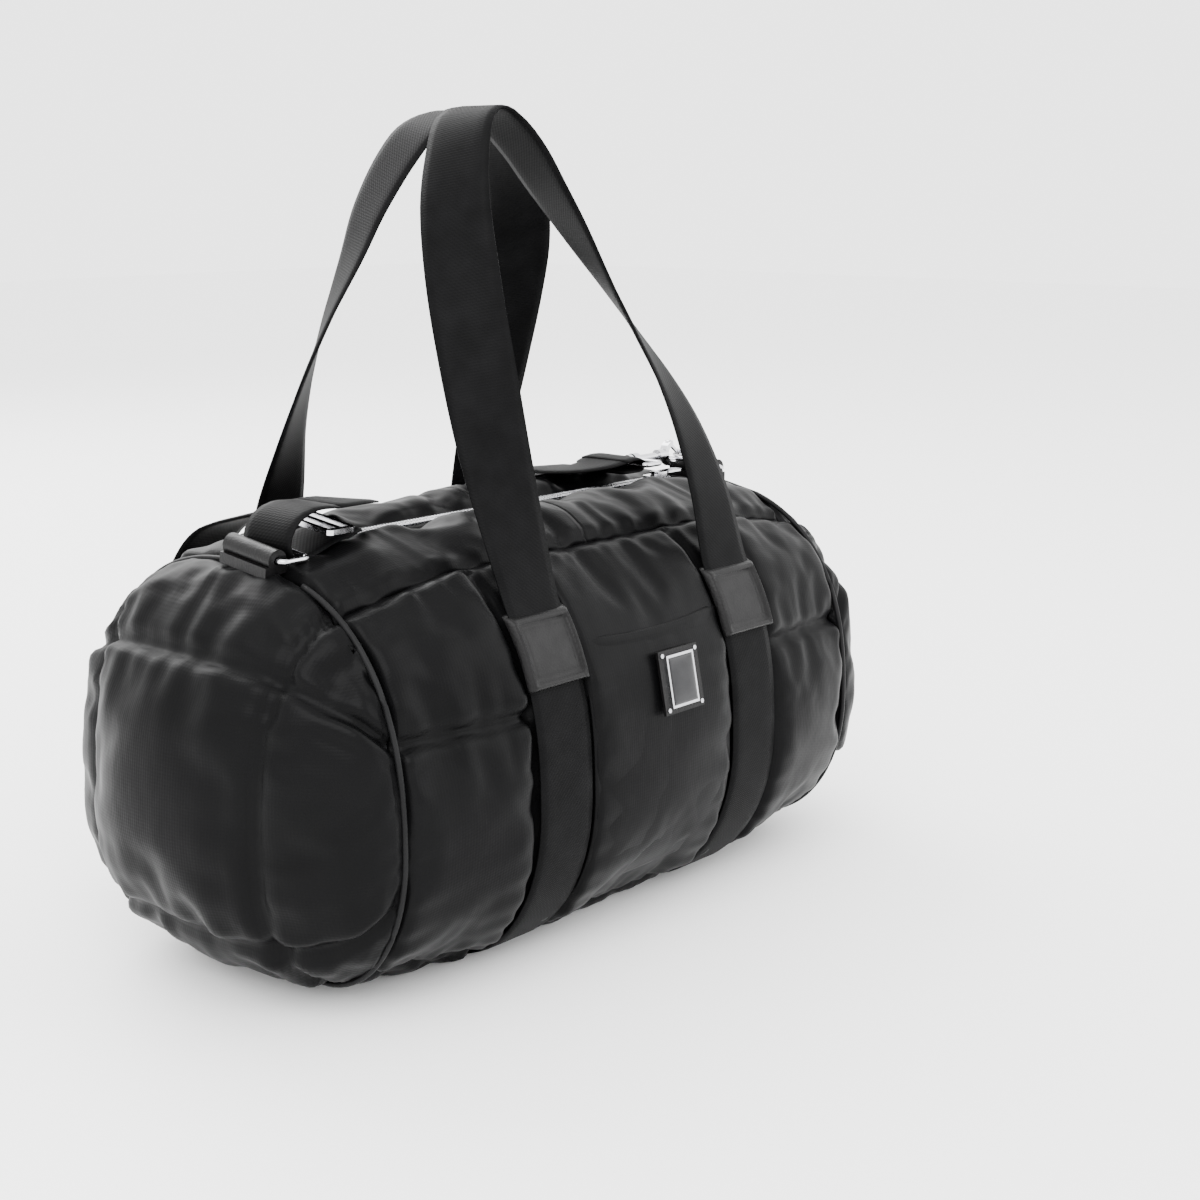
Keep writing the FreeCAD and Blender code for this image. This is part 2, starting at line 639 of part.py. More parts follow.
def build_strap_slider():
    """A three-bar slider between the two layers of the left loop."""
    reach_x, reach_y = STRAP_SLIDER_HALF
    slot_from, slot_to, slot_half = STRAP_SLIDER_SLOT
    frame = rounded_plate(-reach_x, reach_x, -reach_y, reach_y, -1.3, 2.6, 3.0)
    for x in (-1, 1):
        slot_x0, slot_x1 = sorted((x * slot_from, x * slot_to))
        frame = frame.cut(box(slot_x0, slot_x1, -slot_half, slot_half, -3, 3))
    tilt = FreeCAD.Rotation(Vector(1, 0, 0), LEFT_TILT)
    frame.Placement = FreeCAD.Placement(Vector(STRAP_SLIDER_X, LEFT_RING_Y, STRAP_SLIDER_Z), tilt)
    save("strap_slider", frame)


# Snap hook and its swivel eye, lying along X between the right ring and the strap's end


def disc_sector(inner, outer, from_deg, to_deg, thick):
    """A flat ring sector in the XZ plane about the origin, centred on y = 0."""
    a = math.radians(from_deg)
    b = math.radians(to_deg)
    m = (a + b) / 2

    def at(radius, angle):
        return Vector(radius * math.cos(angle), -thick / 2, radius * math.sin(angle))
    edges = [Part.Arc(at(outer, a), at(outer, m), at(outer, b)).toShape(),
             Part.makeLine(at(outer, b), at(inner, b)),
             Part.Arc(at(inner, b), at(inner, m), at(inner, a)).toShape(),
             Part.makeLine(at(inner, a), at(outer, a))]
    return Part.Face(Part.Wire(edges)).extrude(Vector(0, thick, 0))


def swivel_rod(x0, x1, radius):
    """A round rod on the swivel's axis."""
    return rod(Vector(x0, SWIVEL_Y, SWIVEL_Z), Vector(x1, SWIVEL_Y, SWIVEL_Z), radius)


def jaw_point(radius, degrees):
    a = math.radians(degrees)
    return Vector(JAW_X + radius * math.cos(a), SWIVEL_Y, JAW_Z + radius * math.sin(a))


def build_hook():
    """The hook's jaw with its shank and head, and the straight gate that closes it."""
    jaw = disc_sector(JAW_INNER, JAW_OUTER, *JAW_ARC, HOOK_THICK)
    jaw = jaw.cut(disc_sector(JAW_INNER - 1.0, LIP_INNER, *LIP_ARC, HOOK_THICK + 2.0))
    jaw.translate(Vector(JAW_X, SWIVEL_Y, JAW_Z))
    shank = swivel_rod(JAW_X - 5.5, EYE_INNER_X - 4.0, SHANK)
    collar = swivel_rod(JAW_X - COLLAR[0], JAW_X - COLLAR[1], COLLAR[2])
    head = swivel_rod(EYE_INNER_X - HEAD[0], EYE_INNER_X - HEAD[1], HEAD[2])
    pivot = jaw_point(PIVOT_RADIUS, PIVOT_ANGLE)
    aside = Vector(0, GATE_THICK / 2, 0)
    slot_aside = Vector(0, GATE_THICK / 2 + 0.3, 0)
    slot = rod(pivot - slot_aside, pivot + slot_aside, PIVOT_SLOT)
    pin = rod(pivot - aside * 2.4, pivot + aside * 2.4, PIVOT_PIN)
    save("snap_hook", jaw.fuse(shank).fuse(collar).fuse(head).cut(slot).fuse(pin))
    end = jaw_point(*GATE_END)
    along = end - pivot
    across = Vector(-along.z, 0, along.x)
    across.normalize()
    across = across * (GATE_DEEP / 2)
    corners = [pivot - across - aside, end - across - aside, end + across - aside, pivot + across - aside]
    bar = Part.Face(Part.makePolygon(corners + corners[:1])).extrude(aside * 2)
    boss = rod(pivot - aside, pivot + aside, PIVOT_BOSS)
    bore = rod(pivot - aside * 5, pivot + aside * 5, PIVOT_BORE)
    save("hook_gate", bar.fuse(boss).cut(bore))


def build_eye():
    points = [Vector(EYE_INNER_X, SWIVEL_Y - RING_HALF, SWIVEL_Z),
              Vector(EYE_OUTER_X, SWIVEL_Y - RING_HALF, SWIVEL_Z),
              Vector(EYE_OUTER_X, SWIVEL_Y + RING_HALF, SWIVEL_Z),
              Vector(EYE_INNER_X, SWIVEL_Y + RING_HALF, SWIVEL_Z)]
    wire = bent_wire(points, RING_CORNER, RING_WIRE)
    half, radius = EYE_COLLAR
    collar = swivel_rod(EYE_INNER_X - half, EYE_INNER_X + half, radius)
    bore = swivel_rod(EYE_INNER_X - 4 * half, EYE_INNER_X + 4 * half, SHANK + SHANK_ROOM)
    save("swivel_eye", wire.fuse(collar).cut(bore))


# Shoulder strap and the seams round the ends


def build_strap():
    frames = ribbon_frames(STRAP_DOWN + STRAP_UP)
    save("shoulder_strap", ribbon(frames, WEBBING, WEBBING_THICK))
    print("shoulder_strap length", round(ribbon_length(frames)))


def build_piping(side, name):
    """The corded seam round each end."""
    rope = Part.Face(section_wire(side * SEAM_X, -CORD_OUT)).cut(Part.Face(section_wire(side * SEAM_X, 0.0)))
    rope = rope.extrude(Vector(CORD_WIDE, 0, 0))
    rope.translate(Vector(-CORD_WIDE / 2, 0, 0))
    y = LEFT_RING_Y if side < 0 else RIGHT_RING_Y
    x = side * SEAM_X
    rope = rope.cut(box(x - 20, x + 20, y - CORD_BREAK, y + CORD_BREAK, TOP_ZONE_Z, BIG))
    rope = rope.cut(box(-BIG, BIG, -BIG, BIG, -10, 0.2))
    save(name, rope.cut(body_form(0.0)))


os.makedirs("parts", exist_ok=True)
build_shell()
build_flaps()
build_zip_ends()
build_slider()
build_webbing()
build_pocket()
build_badge()
build_handles()
for hand, end in ((-1, "left"), (1, "right")):
    build_tab(hand, end + "_end_tab")
    build_ring(hand, end + "_ring")
    build_piping(hand, end + "_end_piping")
build_loops()
build_strap_slider()
build_hook()
build_eye()
build_strap()
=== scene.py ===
import json
import math

import bpy
import numpy as np
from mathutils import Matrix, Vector, noise


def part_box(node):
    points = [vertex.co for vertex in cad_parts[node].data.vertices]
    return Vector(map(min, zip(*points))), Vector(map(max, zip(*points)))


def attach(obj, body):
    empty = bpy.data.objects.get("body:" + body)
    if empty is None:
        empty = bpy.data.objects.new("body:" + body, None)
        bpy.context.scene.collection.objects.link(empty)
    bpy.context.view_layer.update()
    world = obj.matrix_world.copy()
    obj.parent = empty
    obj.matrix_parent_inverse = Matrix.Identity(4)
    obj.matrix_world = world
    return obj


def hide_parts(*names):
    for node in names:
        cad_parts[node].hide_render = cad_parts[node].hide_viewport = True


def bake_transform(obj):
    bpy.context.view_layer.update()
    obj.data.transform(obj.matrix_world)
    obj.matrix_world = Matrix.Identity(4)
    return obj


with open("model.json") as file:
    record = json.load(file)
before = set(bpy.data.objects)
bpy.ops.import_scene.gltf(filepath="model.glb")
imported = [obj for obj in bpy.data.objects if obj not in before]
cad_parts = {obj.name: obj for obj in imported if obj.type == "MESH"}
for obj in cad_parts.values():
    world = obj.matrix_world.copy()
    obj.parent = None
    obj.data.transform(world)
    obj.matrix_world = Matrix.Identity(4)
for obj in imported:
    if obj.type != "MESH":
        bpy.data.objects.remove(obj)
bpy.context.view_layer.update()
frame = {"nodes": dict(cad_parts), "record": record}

# Quilted nylon baby changing bag. Metres, +X along the barrel, -Y the front, +Z up.

MM = 0.001

# ------------------------- driving sizes, from the frame

side_low, side_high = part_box("front_panel")
end_low, end_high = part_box("right_end_panel")
top_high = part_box("right_top_panel")[1]
web_low, web_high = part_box("right_body_webbing")
patch_low, patch_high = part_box("front_right_patch")
pocket_low, pocket_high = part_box("front_pocket")
tape_low, tape_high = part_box("back_zip_tape")
zip_end_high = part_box("right_zip_end_tapes")[1]

SEAM_X = side_high.x
DOME = end_high.x - SEAM_X
HALF_MID = -side_low.y
HALF_END = -end_low.y
TOP_MID = top_high.z
TOP_END = end_high.z
MID_X = 110 * MM          # the barrel keeps one section up to here
WIDEST_Z = 92 * MM
BASE_HALF = 50 * MM
END_LIFT = 10 * MM        # how far the underside has risen at the end seams
ROUNDNESS = 2.5
DOME_POWER = 1.9
FLOOR_PIN_Z = 1.0 * MM    # cloth lower than this lies on the floor and isn't puffed
TOP_SEAM_Y = 70 * MM
BASE_SEAM_Y = 82 * MM
MID_SEAM_Z = 142 * MM     # quilting seam along both sides
ZIP_EDGE_Y = 9.5 * MM     # the padded sides of the mouth meet the zip tape here
ZIP_Z = (tape_low.z + tape_high.z) / 2
ZIP_X = zip_end_high.x
WEB_X = (web_low.x + web_high.x) / 2
WEB_HALF = (web_high.x - web_low.x) / 2
WEB_INNER = WEB_X - WEB_HALF
WEB_OUTER = WEB_X + WEB_HALF
WEB_THICK = 2.2 * MM
LOOP_WIDE = 36 * MM
LOOP_THICK = 2.0 * MM
LINING_INSET = 9.6 * MM
LINING_END = 4 * MM       # the lining's barrel stops this far short of the end seams
CORD_RADIUS = 1.5 * MM
HANDLE_WIDE = 38 * MM
HANDLE_THICK = 2.4 * MM

# cells of the half ring: zip strip, top gusset, shoulder, side, underside
CELLS = (2, 15, 18, 35, 18)
HALF_RING = sum(CELLS)
RING = 2 * HALF_RING
GUSSET_FROM = CELLS[0]
TOP_SEAM_J = CELLS[0] + CELLS[1]
MID_SEAM_J = TOP_SEAM_J + CELLS[2]
BASE_SEAM_J = MID_SEAM_J + CELLS[3]
CORNER = RING // 8
SQUARE = RING // 4


# ------------------------- camera, light and floor

CAMERA_AT = (-0.7518, -0.7372, 0.3997)
CAMERA_AIM = (0.0879, 0.0, 0.1516)
CAMERA_LENS = 57.1        # millimetres, on a 36 mm sensor
LIGHTS = (                # name, place, disk size, power
    ("key_light", (-1.3, -0.9, 1.7), 2.0, 60),
    ("fill_light", (1.1, -1.6, 1.1), 1.8, 20),
    ("back_light", (0.3, 1.8, 1.6), 1.8, 60))
LIGHT_AIM = (0, 0, 0.12)
FLOOR_HALF = 6.0


def make_stage():
    camera = bpy.data.objects.new("camera", bpy.data.cameras.new("camera"))
    bpy.context.scene.collection.objects.link(camera)
    camera.location = CAMERA_AT
    aim = Vector(CAMERA_AIM) - camera.location
    camera.rotation_euler = aim.to_track_quat("-Z", "Y").to_euler()
    camera.data.lens = CAMERA_LENS
    camera.data.sensor_width = 36
    bpy.context.scene.camera = camera

    for name, place, size, power in LIGHTS:
        data = bpy.data.lights.new(name, "AREA")
        data.shape = "DISK"
        data.size = size
        data.energy = power
        lamp = bpy.data.objects.new(name, data)
        bpy.context.scene.collection.objects.link(lamp)
        lamp.location = place
        aim = Vector(LIGHT_AIM) - lamp.location
        lamp.rotation_euler = aim.to_track_quat("-Z", "Y").to_euler()

    world = bpy.data.worlds.new("studio")
    world.use_nodes = True
    sky = world.node_tree.nodes["Background"]
    sky.inputs["Color"].default_value = (1, 1, 1, 1)
    sky.inputs["Strength"].default_value = 3.2
    bpy.context.scene.world = world

    corners = [(x * FLOOR_HALF, y * FLOOR_HALF, 0) for x, y in ((-1, -1), (1, -1), (1, 1), (-1, 1))]
    floor = new_object("floor", corners, [(0, 1, 2, 3)], smooth=False,
                       material=Shader("floor_paint", (0.95, 0.95, 0.95), 0.6).material)


# ------------------------- meshes

def new_object(name, points, faces, uvs=None, smooth=True, material=None):
    mesh = bpy.data.meshes.new(name)
    mesh.from_pydata([tuple(p) for p in points], [], [tuple(f) for f in faces])
    if uvs is not None:
        layer = mesh.uv_layers.new(name="UVMap")
        corner = np.zeros(len(mesh.loops), np.int32)
        mesh.loops.foreach_get("vertex_index", corner)
        layer.data.foreach_set("uv", np.asarray(uvs, np.float32)[corner].ravel())
    if smooth:
        mesh.shade_smooth()
    obj = bpy.data.objects.new(name, mesh)
    bpy.context.scene.collection.objects.link(obj)
    if material is not None:
        mesh.materials.append(material)
    return obj


def points_of(mesh, kind="co"):
    """The mesh's points, or with "normal" its point normals, as rows of three."""
    flat = np.zeros(len(mesh.vertices) * 3, np.float32)
    mesh.vertices.foreach_get(kind, flat)
    return flat.reshape(-1, 3).astype(float)


def set_points(mesh, points):
    mesh.vertices.foreach_set("co", np.asarray(points, np.float32).ravel())
    mesh.update()


def apply(obj, kind, **settings):
    """Gives obj one modifier with these settings and applies it."""
    modifier = obj.modifiers.new(kind, kind)
    for name, value in settings.items():
        setattr(modifier, name, value)
    bpy.context.view_layer.update()
    evaluated = obj.evaluated_get(bpy.context.evaluated_depsgraph_get())
    mesh = bpy.data.meshes.new_from_object(evaluated)
    obj.modifiers.clear()
    obj.data = mesh
    return obj


def thicken(obj, depth):
    """Gives a cloth surface a closed back, depth behind its face."""
    return apply(obj, "SOLIDIFY", thickness=depth, offset=-1)


def show(obj, body, slot, *nodes):
    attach(obj, body)
    if nodes:
        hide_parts(*nodes)
    return obj


# ------------------------- materials

class Shader:
    """A node material built up step by step. Constants are set on the shader itself."""

    def __init__(self, name, color, roughness, metallic=0.0, shine=0.5):
        self.material = bpy.data.materials.new(name)
        self.material.use_nodes = True
        self.tree = self.material.node_tree
        self.shader = self.tree.nodes["Principled BSDF"]
        self.shader.inputs["Base Color"].default_value = (*color, 1)
        self.shader.inputs["Roughness"].default_value = roughness
        self.shader.inputs["Metallic"].default_value = metallic
        self.shader.inputs["Specular IOR Level"].default_value = shine
        self.normal = None

    def link(self, source, target):
        self.tree.links.new(source, target)

    def coordinates(self, kind, scale):
        place = self.tree.nodes.new("ShaderNodeTexCoord")
        mapping = self.tree.nodes.new("ShaderNodeMapping")
        mapping.inputs["Scale"].default_value = scale
        self.link(place.outputs[kind], mapping.inputs["Vector"])
        return mapping.outputs["Vector"]

    def bump(self, height, strength, distance):
        made = self.tree.nodes.new("ShaderNodeBump")
        made.inputs["Strength"].default_value = strength
        made.inputs["Distance"].default_value = distance
        self.link(height, made.inputs["Height"])
        if self.normal is not None:
            self.link(self.normal, made.inputs["Normal"])
        self.normal = made.outputs["Normal"]
        self.link(self.normal, self.shader.inputs["Normal"])

    def wave(self, direction, bands, distortion=0.0):
        made = self.tree.nodes.new("ShaderNodeTexWave")
        made.bands_direction = direction
        made.inputs["Scale"].default_value = bands
        made.inputs["Distortion"].default_value = distortion
        self.link(self.coordinates("UV", (1, 1, 1)), made.inputs["Vector"])
        return made.outputs["Fac"]

    def noise(self, scale, kind="Object", detail=4.0, stretch=(1, 1, 1)):
        made = self.tree.nodes.new("ShaderNodeTexNoise")
        made.inputs["Scale"].default_value = scale
        made.inputs["Detail"].default_value = detail
        self.link(self.coordinates(kind, stretch), made.inputs["Vector"])
        return made.outputs["Fac"]

    def join(self, operation, first, second):
        made = self.tree.nodes.new("ShaderNodeMath")
        made.operation = operation
        for socket, value in zip(made.inputs, (first, second)):
            if isinstance(value, (int, float)):
                socket.default_value = value
            else:
                self.link(value, socket)
        return made.outputs[0]

    def vary(self, socket, factor, low, high):
        """Spreads a socket's value between low and high."""
        ramp = self.tree.nodes.new("ShaderNodeMapRange")
        ramp.inputs["From Min"].default_value = 0.3
        ramp.inputs["From Max"].default_value = 0.7
        ramp.inputs["To Min"].default_value = low
        ramp.inputs["To Max"].default_value = high
        self.link(factor, ramp.inputs["Value"])
        self.link(ramp.outputs["Result"], self.shader.inputs[socket])

    def tint(self, factor, dark, light):
        ramp = self.tree.nodes.new("ShaderNodeValToRGB")
        ramp.color_ramp.elements[0].position = 0.3
        ramp.color_ramp.elements[0].color = (*dark, 1)
        ramp.color_ramp.elements[1].position = 0.7
        ramp.color_ramp.elements[1].color = (*light, 1)
        self.link(factor, ramp.inputs["Fac"])
        self.link(ramp.outputs["Color"], self.shader.inputs["Base Color"])


def make_materials():
    """Every material, by the name of its slot."""
    nylon = Shader("padded_nylon", (0.002, 0.002, 0.002), 0.42, shine=0.05)
    nylon.tint(nylon.noise(9.0), (0.0014, 0.0014, 0.0015), (0.0026, 0.0026, 0.0028))
    nylon.vary("Roughness", nylon.noise(16.0), 0.34, 0.46)
    crease = nylon.noise(55.0, detail=6.0, stretch=(1, 1, 0.6))
    nylon.bump(crease, 0.4, 1.2 * MM)
    weft = nylon.wave("X", 190)
    warp = nylon.wave("Y", 190)
    nylon.bump(nylon.join("ADD", weft, warp), 0.25, 0.08 * MM)

    webbing = Shader("twill_webbing", (0.002, 0.002, 0.002), 0.55, shine=0.04)
    webbing.tint(webbing.noise(60.0, "UV"), (0.0014, 0.0014, 0.0015), (0.0030, 0.0030, 0.0032))
    ribs = webbing.wave("DIAGONAL", 250, distortion=0.5)
    webbing.bump(ribs, 0.35, 0.15 * MM)
    threads = webbing.wave("Y", 210)
    webbing.bump(threads, 0.35, 0.15 * MM)

    leather = Shader("smooth_leather", (0.0025, 0.0025, 0.0025), 0.36, shine=0.14)
    leather.tint(leather.noise(70.0), (0.0018, 0.0017, 0.0018), (0.0034, 0.0032, 0.0034))
    leather.vary("Roughness", leather.noise(140.0), 0.28, 0.46)
    pores = leather.tree.nodes.new("ShaderNodeTexVoronoi")
    pores.inputs["Scale"].default_value = 900
    leather.link(leather.coordinates("Object", (1, 1, 1)), pores.inputs["Vector"])
    leather.bump(pores.outputs["Distance"], 0.35, 0.25 * MM)

    silver = Shader("polished_silver", (0.56, 0.56, 0.58), 0.2, metallic=1.0)
    silver.vary("Roughness", silver.noise(180.0), 0.09, 0.22)
    silver.bump(silver.noise(900.0, detail=2.0), 0.04, 0.05 * MM)

    teeth = Shader("zip_teeth_metal", (0.45, 0.45, 0.47), 0.28, metallic=1.0)
    teeth.vary("Roughness", teeth.noise(400.0), 0.16, 0.34)

    tape = Shader("woven_tape", (0.004, 0.004, 0.004), 0.7, shine=0.08)
    tape.bump(tape.wave("DIAGONAL", 160), 0.5, 0.15 * MM)
    tape.tint(tape.noise(80.0, "UV"), (0.0030, 0.0030, 0.0032), (0.0055, 0.0055, 0.0058))

    lining = Shader("plain_lining", (0.010, 0.010, 0.011), 0.6, shine=0.15)
    lining.tint(lining.noise(12.0), (0.008, 0.008, 0.009), (0.014, 0.014, 0.015))
    lining.bump(lining.noise(60.0, detail=6.0), 0.4, 1.5 * MM)

    board = Shader("matte_board", (0.035, 0.035, 0.036), 0.7)
    board.tint(board.noise(40.0), (0.028, 0.028, 0.029), (0.045, 0.045, 0.046))
    board.bump(board.noise(700.0), 0.3, 0.2 * MM)

    piping = Shader("bound_cord", (0.004, 0.004, 0.004), 0.5, shine=0.1)
    piping.tint(piping.noise(50.0), (0.0030, 0.0030, 0.0032), (0.0055, 0.0055, 0.0058))
    piping.bump(piping.noise(240.0, detail=5.0), 0.5, 0.6 * MM)

    enamel = Shader("dark_enamel", (0.006, 0.006, 0.007), 0.25, shine=0.3)
    enamel.vary("Roughness", enamel.noise(220.0), 0.15, 0.28)

    shaders = {"nylon": nylon, "webbing": webbing, "leather": leather, "silver_metal": silver,
               "zip_metal": teeth, "zip_tape": tape, "lining": lining, "board": board,
               "piping": piping, "enamel": enamel}
    return {slot: shader.material for slot, shader in shaders.items()}


# ------------------------- the bag's form

def half_outline(x, outset=0.0):
    """The section at x as dense points (y, z), from the top's middle round to the underside's."""
    grown = min(1.0, (SEAM_X - min(abs(x), SEAM_X)) / (SEAM_X - MID_X))
    half = HALF_END + (HALF_MID - HALF_END) * grown + outset
    top = TOP_END + (TOP_MID - TOP_END) * grown + outset
    bottom = END_LIFT * (1 - grown) - min(outset, 0.0)
    upper = np.linspace(math.pi / 2, 0, 400)
    y = half * np.cos(upper).clip(0) ** (2 / ROUNDNESS)
    z = WIDEST_Z + (top - WIDEST_Z) * np.sin(upper).clip(0) ** (2 / ROUNDNESS)
    lower = np.linspace(math.pi / 2, 0, 200)[1:]
    y_low = BASE_HALF + (half - BASE_HALF) * np.sin(lower)
    z_low = WIDEST_Z - (WIDEST_Z - bottom) * np.cos(lower)
    y_base = np.linspace(BASE_HALF, 0, 60)[1:]
    y = np.concatenate([y, y_low, y_base])
    z = np.concatenate([z, z_low, np.full(len(y_base), bottom)])
    return np.stack([y, z], 1)


def arc_places(outline):
    """Distance along the outline at each of its points."""
    steps = np.linalg.norm(np.diff(outline, axis=0), axis=1)
    return np.concatenate([[0], np.cumsum(steps)])


def section_points(x, outset=0.0):
    """RING points (y, z) round the section at x, front side first, with its seams on fixed indices."""
    outline = half_outline(x, outset)
    along = arc_places(outline)
    widest = int(np.argmax(outline[:, 0]))
    above = slice(0, widest + 1)
    marks = [
        0.0,
        np.interp(ZIP_EDGE_Y, outline[above, 0], along[above]),
        np.interp(TOP_SEAM_Y, outline[above, 0], along[above]),
        np.interp(-MID_SEAM_Z, -outline[above, 1], along[above]),
        np.interp(BASE_SEAM_Y, outline[widest:, 0][::-1], along[widest:][::-1]),
        along[-1]]
    places = [0.0]
    for start, end, count in zip(marks, marks[1:], CELLS):
        places.extend(start + (end - start) * (np.arange(count) + 1) / count)
    y = np.interp(places, along, outline[:, 0])
    z = np.interp(places, along, outline[:, 1])
    front = np.stack([-y, z], 1)
    back = np.stack([y, z], 1)[1:-1][::-1]
    return np.concatenate([front, back])


def ease(value):
    t = np.clip(value, 0, 1)
    return t * t * (3 - 2 * t)


def x_stations():
    """Rows along the barrel, with rows exactly on the webbing's edges, the middle and the end seams."""
    half = np.concatenate([
        np.linspace(0, WEB_INNER, 13, endpoint=False),
        np.linspace(WEB_INNER, WEB_OUTER, 8, endpoint=False),
        np.linspace(WEB_OUTER, SEAM_X, 19)])
    return np.concatenate([-half[:0:-1], half])


def ring_side(j):
    """Ring index counted from the top's middle down either side."""
    return np.minimum(j, RING - j)


def zip_valley(points, x):
    """Lets the top down into the zip's valley along the zip."""
    side = ring_side(np.arange(RING))
    open_share = 1 - ease((abs(x) - ZIP_X) / (18 * MM))
    strip = side <= GUSSET_FROM
    drop = points[GUSSET_FROM, 1] - ZIP_Z
    y = np.abs(points[:, 0])
    dip = drop * np.exp(-((y - ZIP_EDGE_Y).clip(0) / (10 * MM)) ** 2)
    dip[side > TOP_SEAM_J] = 0
    points[:, 1] -= dip * open_share
    points[strip, 1] = points[strip, 1] * (1 - open_share) + ZIP_Z * open_share
    return points


class Skin:
    """The bag's whole outer skin as one closed grid: the barrel's rows and a square grid on each end."""

    def __init__(self):
        self.x = x_stations()
        self.rows = len(self.x)
        rows = [zip_valley(section_points(x), x) for x in self.x]
        self.points = [(x, y, z) for x, row in zip(self.x, rows) for y, z in row]
        self.faces = []
        self.zones = []
        self.uvs = []
        self.seams = []
        self.pins = set()
        for i, x in enumerate(self.x):
            self.barrel_row(i, x, rows[i])
        for i in range(self.rows - 1):
            for j in range(RING):
                k = (j + 1) % RING
                self.faces.append((i * RING + j, i * RING + k, (i + 1) * RING + k, (i + 1) * RING + j))
                self.zones.append(self.barrel_zone(i, j))
        self.end_grid(-1)
        self.end_grid(1)

    def barrel_row(self, i, x, row):
        """Seam distances, cloth coordinates and pinned points of one row."""
        ax = abs(x)
        step = np.linalg.norm(np.diff(row, axis=0, append=row[:1]), axis=1)
        along = np.concatenate([[0], np.cumsum(step)[:-1]])
        to_end = SEAM_X - ax
        to_webbing = min(abs(ax - WEB_INNER), abs(ax - WEB_OUTER))
        for j in range(RING):
            side = min(j, RING - j)
            z = row[j][1]
            lines = [TOP_SEAM_J, BASE_SEAM_J]
            if ax >= WEB_OUTER - 1e-6:
                lines.append(MID_SEAM_J)
            if side <= TOP_SEAM_J:
                lines.append(GUSSET_FROM)
            to_line = min(abs(side - line) for line in lines) * 4.4 * MM
            on_side = TOP_SEAM_J < side
            to_row = min(to_end, to_webbing) if on_side else to_end
            self.seams.append((to_row, along[j], to_line, x, 1.0, 0.0))
            self.uvs.append((x, along[j]))
            pinned = side in lines or side < GUSSET_FROM or to_end < 1e-6
            under_webbing = WEB_INNER - 1e-6 <= ax <= WEB_OUTER + 1e-6
            pinned = pinned or (on_side and under_webbing and side > TOP_SEAM_J + 2)
            pinned = pinned or z < FLOOR_PIN_Z
            if pinned:
                self.pins.add(i * RING + j)

    def barrel_zone(self, i, j):
        side = min(j, RING - 1 - j)
        front = j < HALF_RING
        if side < GUSSET_FROM:
            return "strip"
        if side < TOP_SEAM_J:
            left = i < (self.rows - 1) // 2
            return ("front" if front else "back") + ("_left" if left else "_right") + "_gusset"
        if side < BASE_SEAM_J:
            return "front_panel" if front else "back_panel"
        return "base_panel"

    def end_grid(self, hand):
        """Fills one end with a domed square grid whose rim is the barrel's last ring."""
        base = 0 if hand < 0 else (self.rows - 1) * RING
        ring = np.array([self.points[base + j][1:] for j in range(RING)])
        plain = section_points(SEAM_X)
        centre = np.array([0.0, WIDEST_Z])
        angle = np.arctan2(plain[:, 1] - WIDEST_Z, plain[:, 0])
        radius = np.linalg.norm(plain - centre, axis=1)

        def rim(p, q):
            if q == 0:
                return (p - CORNER) % RING
            if q == SQUARE:
                return 3 * CORNER + (SQUARE - p)
            if p == SQUARE:
                return CORNER + q
            return (RING - CORNER - q) % RING

        index = {}
        zone = "left_end_panel" if hand < 0 else "right_end_panel"
        across = (MID_SEAM_J - CORNER, MID_SEAM_J + 21 - CORNER)
        arc = np.concatenate([[0], np.cumsum(np.linalg.norm(np.diff(ring, axis=0), axis=1))])
        for q in range(SQUARE + 1):
            t = q / SQUARE
            placed = []
            for p in range(SQUARE + 1):
                if p in (0, SQUARE) or q in (0, SQUARE):
                    index[p, q] = base + rim(p, q)
                    continue
                s = p / SQUARE
                top, bottom = ring[rim(p, 0)], ring[rim(p, SQUARE)]
                left, right = ring[rim(0, q)], ring[rim(SQUARE, q)]
                corners = ((1 - s) * (1 - t) * ring[rim(0, 0)] + s * (1 - t) * ring[rim(SQUARE, 0)]
                           + (1 - s) * t * ring[rim(0, SQUARE)] + s * t * ring[rim(SQUARE, SQUARE)])
                flat = (1 - t) * top + t * bottom + (1 - s) * left + s * right - corners
                away = flat - centre
                length = np.linalg.norm(away)
                full = np.interp(math.atan2(away[1], away[0]), angle, radius, period=2 * math.pi)
                share = min(length / full, 1.0)
                spread = math.sin(share * math.pi / 2) ** (2 / DOME_POWER)
                rise = math.cos(share * math.pi / 2) ** (2 / DOME_POWER)
                spot = centre + away * (spread / max(share, 1e-6))
                placed.append([p, hand * (SEAM_X + DOME * rise), spot[0], spot[1]])
            pinned = set()
            for sign in (-1, 1):
                if not placed:
                    break
                nearest = min(placed, key=lambda v: abs(v[2] - sign * upright_seam(v[3])))
                nearest[2] = sign * upright_seam(nearest[3])
                pinned.add(nearest[0])
            for p, x, y, z in placed:
                index[p, q] = len(self.points)
                self.points.append((x, y, z))
                to_upright = abs(abs(y) - upright_seam(z))
                to_across = min(abs(q - line) for line in across) * 5.0 * MM
                edge = min(p, SQUARE - p, q, SQUARE - q)
                near_rim = rim(*self.pushed_out(p, q))
                self.seams.append((to_upright, z, to_across, y, edge * 6.0 * MM, arc[near_rim]))
                self.uvs.append((y + hand, z))
                if p in pinned or q in across:
                    self.pins.add(index[p, q])
        for q in range(SQUARE):
            for p in range(SQUARE):
                face = (index[p, q], index[p + 1, q], index[p + 1, q + 1], index[p, q + 1])
                self.faces.append(face if hand > 0 else face[::-1])
                self.zones.append(zone)

    @staticmethod
    def pushed_out(p, q):
        """The rim place nearest to a place in the square grid."""
        gaps = {(0, q): p, (SQUARE, q): SQUARE - p, (p, 0): q, (p, SQUARE): SQUARE - q}
        return min(gaps, key=gaps.get)


